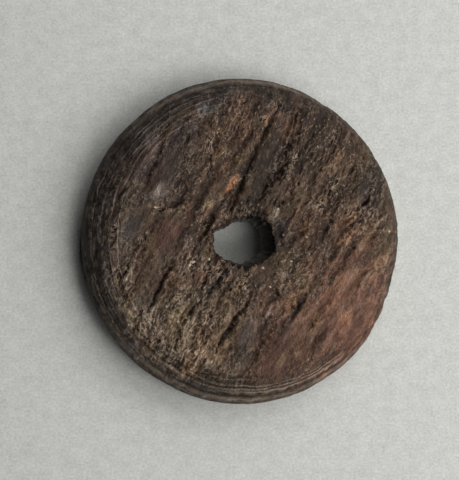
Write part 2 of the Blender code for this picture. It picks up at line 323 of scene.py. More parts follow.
poreCloud = {
    "seed": 14,
    "count": 420,                # with the ones above
    "radius": (0.06, 0.13),      # smallest and largest, in millimetres
    "depth": 0.8,                # a share of the radius
    "uneven": (0.6, 1.3),        # how much the depths differ
    "holeMargin": 3.6 * mm,      # none this near the middle
    "rimMargin": 1.2 * mm,
    "stretch": 1.35,             # how much longer than wide, with the grain
    "bank": 0.22,                # height of the raised edge, a share of the depth
}

# How the cracks, furrows and ledges are cut
cutting = {
    "drift": 0.30 * mm,          # how far a cut strays to either side
    "steepSide": 1.5,            # its wall towards the lower right stands steeper
    "gentleSide": 0.75,
    "margin": 0.5 * mm,          # it is worked out this far beyond its width
    "ledgeDrift": 0.5 * mm,
    "ledgeFall": 0.12 * mm,      # a ledge drops within this width
    "crackSharpness": 0.7,
    "furrowSharpness": 1.5,
}
seedStep = 7.31    # every seed is a layer of its own, this far up in the same noise


def noiseAt(x, y, z, octaves=1, fall=0.65):
    # Smooth noise, about -0.7 to 0.7; every further octave is half as wide, and weaker
    places = np.stack([x, y, z], 1).tolist()
    if octaves == 1:
        values = (noise.noise(p) for p in places)
    else:
        values = (noise.fractal(p, fall, 2.0, octaves) for p in places)
    return np.fromiter(values, float, len(places))


def field(u, v, size, seed, octaves=1, fall=0.65):
    # Noise in a plane, with its own size along u and v
    return noiseAt(u / size[0], v / size[1], np.full_like(u, seed * seedStep), octaves, fall)


def evenField(u, v, size, seed):
    return field(u, v, (size, size), seed)


def roundField(angle, height, spacing, tall, seed):
    # Noise round the disc, with its spacing in radians
    return noiseAt(np.cos(angle) / spacing, np.sin(angle) / spacing, height / tall + seed * seedStep)


def threadField(u, v, size, seed):
    # Thin raised threads where smooth noise crosses its middle value
    u, v, layer = u / size[0], v / size[1], np.full_like(u, seed * 5.13)
    return 1 - ease(np.abs(noiseAt(u, v, layer) + 0.4 * noiseAt(2 * u, 2 * v, layer)), 0.0, 0.14)


def cellField(along, across, scale, seed):
    # Open cells of spongy bone side by side: 0 on the thin walls between them, each sunk to its own depth
    sunk = np.empty_like(along)
    places = np.stack([along / scale[0], across / scale[1]], 1).tolist()
    for n, (u, v) in enumerate(places):
        away, cells = noise.voronoi((u, v, seed * 5.37))
        inner = min(1, max(0, (away[1] - away[0] - 0.06) / 0.5))
        sunk[n] = inner * abs(noise.cell(cells[0] * 3.7))
    return sunk


def turned(x, y, degrees):
    # Components along and across a direction
    turn = math.radians(degrees)
    return x * math.cos(turn) + y * math.sin(turn), y * math.cos(turn) - x * math.sin(turn)


def cutsNear(x, y, table):
    # For each listed cut: the points near it, how far along and across it they lie, and how it fades out
    for n, (cx, cy, length, width, deep, degrees) in enumerate(table):
        u, v = turned(x - cx * mm, y - cy * mm, degrees)
        half = length * mm / 2
        near = (np.abs(u) < half) & (np.abs(v) < width * mm + cutting["margin"])
        u, v = u[near], v[near]
        yield n, near, u, v, width * mm, deep * mm, np.sqrt(1 - (u / half) ** 2)


def slots(x, y, table, sharp):
    # Boat-shaped cuts, deepest in the middle line
    depth = np.zeros_like(x)
    for n, near, u, v, width, deep, taper in cutsNear(x, y, table):
        drift = evenField(u, u * 0, 1.1 * mm, n + 3) + 0.4 * evenField(u, u * 0, 0.4 * mm, n + 9)
        v = v + drift * cutting["drift"]
        ragged = 1 + 0.8 * evenField(u, v, 0.5 * mm, n + 21) + 0.7 * evenField(u, v, 0.2 * mm, n + 27)
        v = np.where(v < 0, v * cutting["steepSide"], v * cutting["gentleSide"])
        cut = np.clip(1 - np.abs(v) / (width / 2 * taper * ragged + 1e-9), 0, 1) ** sharp
        depth[near] = np.maximum(depth[near], deep * taper * cut)
    return depth


def steps(x, y, table):
    # On one side of a ragged line the surface drops at once, then comes back slowly
    depth = np.zeros_like(x)
    for n, near, u, v, width, deep, taper in cutsNear(x, y, table):
        drift = evenField(u, u * 0, 0.9 * mm, n + 41) + 0.5 * evenField(u, v, 0.35 * mm, n)
        v = v + drift * cutting["ledgeDrift"]
        fall = ease(v, 0, cutting["ledgeFall"]) * (1 - ease(v, 0.1 * mm, width))
        depth[near] = np.maximum(depth[near], deep * taper * fall)
    return depth


def zonesAt(x, y, zones):
    # 1 in the middle of each listed zone, fading to 0
    found = np.zeros_like(x)
    for cx, cy, length, width in zones:
        u, v = turned(x - cx * mm, y - cy * mm, grain["angle"])
        found = np.maximum(found, bump(np.hypot(u / (length * mm), v / (width * mm)), 0.8))
    return found


def pitted(x, y, dense):
    # Open pores: the ones seen one by one, and a seeded cloud in the spongy parts
    depth = np.zeros_like(x)
    tree = kdtree.KDTree(len(x))
    for n, place in enumerate(zip(x.tolist(), y.tolist())):
        tree.insert((*place, 0), n)
    tree.balance()
    chance = np.random.default_rng(poreCloud["seed"])
    cloud = [(px * mm, py * mm, pr * mm, pd * mm) for px, py, pr, pd in pores]
    outer = radius - poreCloud["rimMargin"]
    while len(cloud) < poreCloud["count"]:
        place = chance.uniform(-1, 1, 2) * outer
        size = chance.uniform(*poreCloud["radius"]) * mm
        if not poreCloud["holeMargin"] < math.hypot(*place) < outer:
            continue
        here = tree.find((*place, 0))[1]
        if chance.random() > (1 - dense[here]) ** 2:
            continue
        cloud.append((*place, size, size * poreCloud["depth"] * chance.uniform(*poreCloud["uneven"])))
    for px, py, size, deep in cloud:
        hits = tree.find_range((px, py, 0), size * 2.6)
        if not hits:
            continue
        index = np.array([hit[1] for hit in hits])
        u, v = turned(x[index] - px, y[index] - py, grain["angle"])
        away = np.hypot(u / poreCloud["stretch"], v) / size
        depth[index] += deep * (1 - ease(away, 0.35, 1.1) - poreCloud["bank"] * bump(away - 1.45, 0.4))
    return depth


def turnedMarks(inset, angle, face, kept, wander):
    # The groove inside the lip, with lumps where the lip is worn and fine rings on all of the band
    groove = np.abs(inset - turnedRelief["grooveInset"] - wander) / (turnedRelief["grooveWidth"] / 2)
    patchy = 0.6 + 0.9 * roundField(angle, 0 * angle, 0.22, 1, 31)
    sink = turnedRelief["grooveDepth"] * np.clip(1 - groove, 0, 1) ** 0.8 * np.clip(kept * patchy, 0, 1)
    x, y = np.cos(angle), np.sin(angle)
    lumps = noiseAt(x * 14, y * 14, inset / turnedRelief["lumpPitch"], 4, 0.7)
    rings = noiseAt(x * 5, y * 5, inset / turnedRelief["ringPitch"])
    sink += turnedRelief["lumps"] * (1 - face) * (1.8 - kept) * lumps
    return sink + turnedRelief["rings"] * (1 - face) * rings


def weatherUpper(x, y, r, angle):
    # How far the surface is sunk at each place, and the masks that its colours follow
    along, across = turned(x, y, grain["angle"])
    across = across + grain["waver"] * field(along, across, grain["waverSize"], 1)
    narrow = wearAt(angle, rim["narrow"])
    inner, outer = rim["bandWidth"]
    face = 1 - ease(r, radius - inner + narrow, radius - outer + 0.6 * narrow)
    dense = np.maximum(zonesAt(x, y, denseZones), rim["dense"] * (1 - face))
    rough = 1 - dense

    depth = {name: values[0] for name, values in relief.items()}
    size = {name: values[1] for name, values in relief.items()}
    swirl = depth["swirl"] * field(along, across, size["swirl"], 6)
    swirl += depth["smallSwirl"] * field(along, across, size["smallSwirl"], 9)
    bent = across + swirl
    broad = (0.4 + field(along, across, size["broad"], 2, 2, 0.8)) * (0.32 + 0.68 * rough)
    lumps = field(along, bent, size["lumps"], 3, 5)
    strips = ease(field(along, bent, size["strips"], 4, 5), 0.02, 0.26)
    crumbs = field(along, across, size["crumbs"], 5, 3)
    threads = threadField(along + swirl, bent, size["threads"], 2)
    threads *= depth["threadPatches"] * ease(field(along, across, size["threadPatches"], 18), -0.15, 0.25)
    patches = ease(field(along, across, size["cellPatches"], 8), -0.1, 0.3)
    spongy = rough * np.maximum(depth["cellPatches"] * patches, zonesAt(x, y, spongyZones))
    cells = depth["cells"] * cellField(along + 0.6 * swirl, across + 0.6 * swirl, size["cells"], 1)
    cells += depth["smallCells"] * cellField(along, bent, size["smallCells"], 2)

    sink = depth["broad"] * broad + cells * spongy
    sink += (depth["lumps"] * lumps + depth["strips"] * strips) * (0.3 + 0.7 * rough)
    sink += depth["crumbs"] * crumbs * (0.2 + 0.8 * rough) - depth["threads"] * threads * rough
    sink += steps(x, y, ledges) + slots(x, y, furrows, cutting["furrowSharpness"])
    opened = slots(x, y, cracks, cutting["crackSharpness"]) + pitted(x, y, dense)
    sink = sink * (0.3 + 0.7 * face) + opened

    u, v = x - hole["x"], y - hole["y"]
    turn = np.arctan2(v, u)
    past = np.hypot(u, v) - holeEdge(turn, hole["flare"]) - hole["flare"]
    sink += wearAt(turn, hole["round"]) * (1 - ease(past, 0, hole["roundWidth"])) ** 1.5

    inset = radius - r
    kept = np.clip(1 - wearAt(angle, rim["worn"]) / mm, 0, 1)
    slow, quick = turnedRelief["grooveWander"]
    wander = slow * roundField(angle, 0 * angle, 0.4, 1, 33)
    wander += quick * roundField(angle, 0 * angle, 0.10, 1, 35)
    sink += turnedMarks(inset, angle, face, kept, wander)
    masks = {"rough": rough, "inset": inset + wander, "narrow": narrow, "kept": kept, "spongy": spongy}
    return sink, opened, masks


def smoothed(values, links, rounds):
    # Each point takes the mean of itself and the points it is joined to, again and again
    a, b = links
    count = len(values)
    share = 1 + np.bincount(a, minlength=count) + np.bincount(b, minlength=count)
    for _ in range(rounds):
        total = values + np.bincount(a, values[b], count) + np.bincount(b, values[a], count)
        values = total / share
    return values


def stainAndShadingLayer(x, y):
    # The patches laid over each other: their colour times their share, and the share
    along, across = turned(x, y, grain["angle"])
    ragged = 0.5 * field(along, across, (1.6 * mm, 0.7 * mm), 17, 5)
    tone, bare = np.zeros((len(x), 3)), np.ones(len(x))
    for px, py, length, width, soft, strength, *levels in stainsAndShading:
        u, v = turned(px * mm, py * mm, grain["angle"])
        away = np.hypot((along - u) * 1.6 / (length * mm), (across - v) * 1.6 / (width * mm))
        away += ragged * min(1, length)
        mask = strength * (1 - ease(away, 1 - soft, 1 + soft))
        tone = tone * (1 - mask)[:, None] + mask[:, None] * np.array(seen(*levels)[:3])
        bare *= 1 - mask
    return np.column_stack([tone, 1 - bare])


def valuesOf(items, name, size, kind=float):
    values = np.empty(len(items) * size, kind)
    items.foreach_get(name, values)
    return values.reshape(-1, size)


def shapePiece(mesh):
    points = valuesOf(mesh.vertices, "co", 3)
    normals = valuesOf(mesh.vertices, "normal", 3)
    x, y, z = points.T.copy()

    # the worn hole
    r, angle = np.hypot(x, y), np.arctan2(y, x)
    oval = holeEdge(angle, hole["flare"])
    oval += hole["ragged"] * roundField(angle, z, 0.13, 2.2 * mm, 11)
    oval += hole["fineRagged"] * roundField(angle, z, 0.06, 1.2 * mm, 12)
    fade = np.clip((holeMean + hole["flare"] + hole["blend"] - r) / hole["blend"], 0, 1)
    stretch = (r + (oval - holeMean) * fade) / r
    x, y = x * stretch + hole["x"] * fade, y * stretch + hole["y"] * fade

    # the worn rim
    r, angle = np.hypot(x, y), np.arctan2(y, x)
    outer = np.clip((r - radius + blank["shoulderInset"]) / blank["shoulderInset"], 0, 1)
    inward = wearAt(angle, rim["wear"])
    inward += rim["ripple"] * (0.7 + roundField(angle, z, 0.045, 2 * mm, 13))
    inward += rim["fineRipple"] * roundField(angle, z, 0.018, 0.7 * mm, 15)
    shrink = 1 - outer * inward / r

    upper = ease(z, blank["widestHeight"] - 0.2 * mm, blank["widestHeight"] + 1.6 * mm)
    sink, opened, masks = weatherUpper(x, y, r, angle)
    white = np.zeros_like(x)
    for gx, gy, size in whiteGrainsAndGlints:
        away = np.hypot(x / mm - gx, y / mm - gy)
        white = np.maximum(white, 1 - ease(away, 0.7 * size, 1.3 * size))
    sink = (sink - grainRise * white) * upper
    links = valuesOf(mesh.edges, "vertices", 2, int).T
    near = smoothed(sink, links, smoothRounds["near"])
    far = smoothed(near, links, smoothRounds["far"])
    worn = np.stack([x * shrink, y * shrink, z], 1) - normals * sink[:, None]
    mesh.vertices.foreach_set("co", worn.ravel())

    # below the widest ring the marks go on down the edge
    below = z < blank["widestHeight"]
    inset = np.where(below, z - blank["widestHeight"], masks["inset"])
    wallEnd = hole["shadingRadius"]
    inHole = 1 - ease(r, wallEnd - 0.1 * mm, wallEnd + 0.1 * mm)
    layers = {
        "hollow": opened / mm * upper,
        # how far each place stands above its near and wider surroundings, from which shade and light are
        # painted
        "crumb": (near - sink) / mm,
        "rise": (far - near) / mm,
        "rough": masks["rough"],
        "inset": inset / mm,
        "narrow": masks["narrow"] / mm,
        "kept": masks["kept"],
        "spongy": masks["spongy"],
        "white": white * upper,
        # depth in the hole, from which its wall gets painted shade and painted light
        "inside": np.clip((thickness - z) / thickness, 0, 1) * inHole,
    }
    for name, values in layers.items():
        mesh.attributes.new(name, "FLOAT", "POINT").data.foreach_set("value", values)
    stainAndShading = mesh.attributes.new("stainAndShading", "FLOAT_COLOR", "POINT")
    stainAndShading.data.foreach_set("color", stainAndShadingLayer(x, y).ravel())
    mesh.update()
    print("piece weathered")


# Colour

def rgb(*levels):
    # From screen values, 0 to 255, to a linear colour
    shares = [level / 255 for level in levels]
    return [c / 12.92 if c < 10 / 255 else ((c + 0.055) / 1.055) ** 2.4 for c in shares]


def seen(*levels):
    # The surface colour that looks like these screen values here: less the sheen, and a little warmer
    warmer = (1.013, 0.888, 0.801)
    return tuple(max(c - 0.006, 0.002) * w for c, w in zip(rgb(*levels), warmer)) + (1,)


class Tree:
    # Adds nodes to a node tree and links them; an input can be given as a value or as another node's output
    def __init__(self, tree):
        self.tree = tree

    def add(self, kind, inputs=None, **settings):
        node = self.tree.nodes.new("ShaderNode" + kind)
        for name, value in settings.items():
            setattr(node, name, value)
        for name, value in (inputs or {}).items():
            if isinstance(value, bpy.types.NodeSocket):
                self.tree.links.new(value, node.inputs[name])
            else:
                node.inputs[name].default_value = value
        return node

    def use(self, group, inputs):
        return self.add("Group", inputs, node_tree=group).outputs[0]

    def math(self, operation, a, b=0.0, c=0.0, clamp=False):
        return self.add("Math", {0: a, 1: b, 2: c}, operation=operation, use_clamp=clamp).outputs[0]

    def times(self, *values):
        product = values[0]
        for value in values[1:]:
            product = self.math("MULTIPLY", product, value)
        return product

    def fit(self, value, gain, offset, clamp=False):
        return self.math("MULTIPLY_ADD", value, gain, offset, clamp)

    def partly(self, share, value):
        # 1 where the share is 0, the value where it is 1
        return self.add("Mix", {"Factor": share, 2: 1.0, 3: value}).outputs[0]

    def ramp(self, value, low, high, start=0.0, end=1.0, kind="SMOOTHSTEP"):
        inputs = {"Value": value, "From Min": low, "From Max": high, "To Min": start, "To Max": end}
        return self.add("MapRange", inputs, interpolation_type=kind).outputs["Result"]

    def vector(self, operation, a, b=(0, 0, 0)):
        return self.add("VectorMath", {0: a, 1: b}, operation=operation).outputs[0]

    def scale(self, place, factor):
        return self.add("VectorMath", {0: place, "Scale": factor}, operation="SCALE").outputs[0]

    def split(self, place):
        return self.add("SeparateXYZ", {0: place}).outputs

    def joined(self, x, y, z=0.0):
        return self.add("CombineXYZ", {0: x, 1: y, 2: z}).outputs[0]

    def millimetres(self):
        return self.scale(self.add("TexCoord").outputs["Object"], 1 / mm)

    def noise(self, place, detail=2.0, rough=0.5, twist=0.0):
        inputs = {"Vector": place, "Scale": 1.0, "Detail": detail, "Roughness": rough, "Distortion": twist}
        return self.add("TexNoise", inputs).outputs["Fac"]

    def spread(self, value):
        # Noise brought out to 0 to 1
        return self.fit(self.math("SUBTRACT", value, 0.5), 1.9, 0.5, clamp=True)

    def mix(self, share, a, b, blend="MIX"):
        inputs = {"Factor": share, 6: a, 7: b}
        return self.add("Mix", inputs, data_type="RGBA", blend_type=blend).outputs[2]

    def shaded(self, color, red, green, blue):
        gray = self.add("CombineColor", {0: red, 1: green, 2: blue}).outputs[0]
        return self.mix(1.0, color, gray, "MULTIPLY")

    def luminance(self, color):
        return self.add("RGBToBW", {0: color}).outputs[0]

    def lines(self, across, table):
        # Grey level across the rim: 0.5, down to 0 on a dark line and up to 1 on a pale one
        node = self.add("ValToRGB", {0: across})
        stops = node.color_ramp.elements
        stops.remove(stops[-1])
        for at, width, strength in table:
            for offset, share in ((-1.0, 0.0), (0.0, 1.0), (1.0, 0.0)):
                stop = stops.new((at + offset * width) / turnedDepth)
                stop.color = (0.5 - share * strength / 2,) * 3 + (1,)
        stops[0].color = (0.5, 0.5, 0.5, 1)
        return node.outputs["Color"]


def newGroup(name, inputs, makeValue):
    # A group with one value for its output, which the given function makes from its inputs
    group = bpy.data.node_groups.new(name, "ShaderNodeTree")
    for label, kind in inputs.items():
        group.interface.new_socket(label, in_out="INPUT", socket_type="NodeSocket" + kind)
    group.interface.new_socket("Value", in_out="OUTPUT", socket_type="NodeSocketFloat")
    given = group.nodes.new("NodeGroupInput").outputs
    value = makeValue(Tree(group), *given[:len(inputs)])
    group.links.new(value, group.nodes.new("NodeGroupOutput").inputs[0])
    return group


def grainGroup(name, setting, makePattern):
    # A pattern of its own size along the grain, with one setting
    def makeValue(t, place, size, shift, value):
        return makePattern(t, t.vector("ADD", t.vector("DIVIDE", place, size), shift), value)
    inputs = {"Place": "Vector", "Size": "Vector", "Shift": "Vector", setting: "Float"}
    return newGroup(name, inputs, makeValue)


def makeStreaks(t, place, detail):
    # Noise drawn out along the grain
    return t.spread(t.noise(place, detail, 0.6))


def makeThreads(t, place, width):
    # Thin curling threads, where smooth noise crosses its middle value
    aside = t.math("ABSOLUTE", t.math("SUBTRACT", t.noise(place, 1.0, 0.5, 0.6), 0.5))
    return t.ramp(aside, width, 0.0)


def makeSpecks(t, place, amount):
    # Small flecks: the share of the surface grows with the amount
    edge = t.math("SUBTRACT", 0.80, t.math("MULTIPLY", amount, 0.30))
    return t.ramp(t.noise(place, 1.0, 0.5), edge, t.math("ADD", edge, 0.06))


def makeCells(t, place, twist):
    # Spongy bone: 1 on thin curling walls, 0 in the cells between them
    bent = t.add("TexNoise", {"Vector": place, "Scale": 1.4, "Detail": 1.0}).outputs["Color"]
    bent = t.scale(t.vector("SUBTRACT", bent, (0.5, 0.5, 0.5)), twist)
    inputs = {"Vector": t.vector("ADD", place, bent), "Scale": 1.0}
    away = t.add("TexVoronoi", inputs, feature="DISTANCE_TO_EDGE").outputs["Distance"]
    return t.ramp(away, 0.16, 0.02)


def makeRings(t, around, inset, pitch, shift):
    # Turned marks: noise drawn out round the disc
    parts = t.split(around)
    line = t.math("ADD", t.math("DIVIDE", inset, pitch), shift)
    return t.spread(t.noise(t.joined(parts[0], parts[1], line), 2.0, 0.55))


def makeStretch(t, direction, middle, low, high, inset):
    # How much of the turned lines is left at each place: one stretch of the rim, with gaps of its own
    inputs = {0: direction, 1: middle}
    facing = t.add("VectorMath", inputs, operation="DOT_PRODUCT").outputs["Value"]
    parts = t.split(t.vector("MULTIPLY", direction, (9, 9, 0)))
    place = t.joined(parts[0], parts[1], t.math("DIVIDE", inset, 0.24))
    return t.times(t.ramp(facing, low, high), t.ramp(t.noise(place, 3.0, 0.7), 0.34, 0.52))


# Patterns in the colour: kind, size along and across the grain in millimetres, shift, and its one setting
patterns = {
    "broad": ("streaks", 7.0, 2.4, (3, 1, 0), 2.0),
    "medium": ("streaks", 1.5, 0.55, (0, 5, 2), 3.0),
    "thin": ("streaks", 0.75, 0.20, (4, 0, 8), 2.0),
    "grit": ("streaks", 0.26, 0.22, (1, 9, 1), 2.0),
    "tint": ("streaks", 2.4, 0.9, (8, 3, 5), 4.0),
    "uneven": ("streaks", 2.0, 1.3, (6, 6, 1), 2.0),
    "patch": ("streaks", 3.2, 1.2, (2, 7, 7), 1.0),
    "flecks": ("specks", 0.44, 0.25, (7, 2, 4), 0.67),
    "pits": ("specks", 0.46, 0.30, (5, 1, 8), 0.58),
    "glints": ("specks", 0.25, 0.20, (2, 2, 9), 0.26),
    "walls": ("cells", 0.62, 0.42, (2, 6, 3), 0.9),
    "gaps": ("threads", 1.05, 0.62, (3, 8, 2), 0.080),
    "worms": ("threads", 0.95, 0.58, (9, 4, 6), 0.070),
}

# Patterns round the rim: how often they change round it, their pitch across it in millimetres, their shift
turnedPatterns = {"marks": (3.2, 0.34, 3.0), "strokes": (11, 0.17, 9.0), "groups": (5, 0.70, 4.0)}

# How far each pattern stands out, in millimetres
heights = {
    "lines": 0.08, "thin": 0.04, "grit": 0.06, "medium": 0.05,
    "walls": 0.05, "strokes": 0.12, "threads": 0.04,
}


boneLook = {
    "brown": seen(84, 68, 57),
    "olive": seen(84, 73, 58),
    "rimBrown": seen(70, 64, 60),
    "dark": seen(43, 34, 28),
    "crack": seen(28, 22, 18),
    "pale": seen(136, 124, 108),
    "line": seen(166, 157, 144),
    "grey": seen(124, 117, 109),
    "wall": seen(156, 145, 130),
    "cool": (0.97, 1.00, 1.07, 1),
    "warm": (1.03, 1.00, 0.92, 1),
    "glint": seen(196, 183, 162),
    "white": seen(235, 232, 222),
    "middle": 0.055,
    "contrast": 0.18,
    # painted shade on the hole's upper wall, and painted light, floor-grey, on its lower wall
    "inside": seen(66, 65, 66),
    "deep": seen(148, 155, 158),
    "roughness": 0.55,
    "specular": 0.215,
    "bump": 0.7,
}

# Turned lines, stretch by stretch: middle and half length in degrees, then for each line its inset and half
# width in millimetres and how dark it is (or pale, below 0)
turnedLines = [
    (-76, 24, [
        (0.50, 0.30, -0.45), (0.95, 0.11, 1.00), (1.35, 0.16, -0.80), (1.59, 0.05, 0.90), (1.73, 0.06, -1.00),
        (1.90, 0.06, 0.80), (2.06, 0.05, -0.60), (2.30, 0.06, 0.40),
    ]),
    (-108, 22, [
        (0.50, 0.30, -0.40), (0.95, 0.13, 1.00), (1.30, 0.08, 0.50), (1.60, 0.07, -0.60), (1.86, 0.12, 0.90),
        (2.16, 0.06, -0.55), (2.48, 0.14, 0.70), (2.84, 0.07, -0.45), (3.14, 0.12, 0.50),
    ]),
    (98, 36, [(0.42, 0.34, -0.40), (0.98, 0.14, 0.95)]),
    (126, 22, [
        (1.40, 0.08, 0.55), (1.60, 0.06, -0.45), (2.00, 0.09, 0.60), (2.22, 0.06, -0.50),
        (2.68, 0.09, 0.55), (2.92, 0.06, -0.45), (3.45, 0.08, 0.45), (3.70, 0.06, -0.40),
    ]),
    (-142, 18, [
        (0.50, 0.20, -0.30), (0.98, 0.12, 0.75), (1.50, 0.08, -0.50), (1.85, 0.09, 0.65), (2.15, 0.07, -0.55),
        (2.50, 0.09, 0.60), (2.80, 0.07, -0.50), (3.20, 0.09, 0.60),
    ]),
    (-174, 30, [
        (0.78, 0.06, -0.85), (1.30, 0.11, 0.45), (2.38, 0.13, 0.60), (2.62, 0.06, -0.35), (3.54, 0.06, -0.85),
        (3.70, 0.08, 0.35),
    ]),
    (-40, 24, [(0.80, 0.12, 0.60), (1.50, 0.08, 0.35), (2.10, 0.08, 0.25)]),
]
turnedDepth = 6.0    # millimetres from the rim that the turned lines reach at most
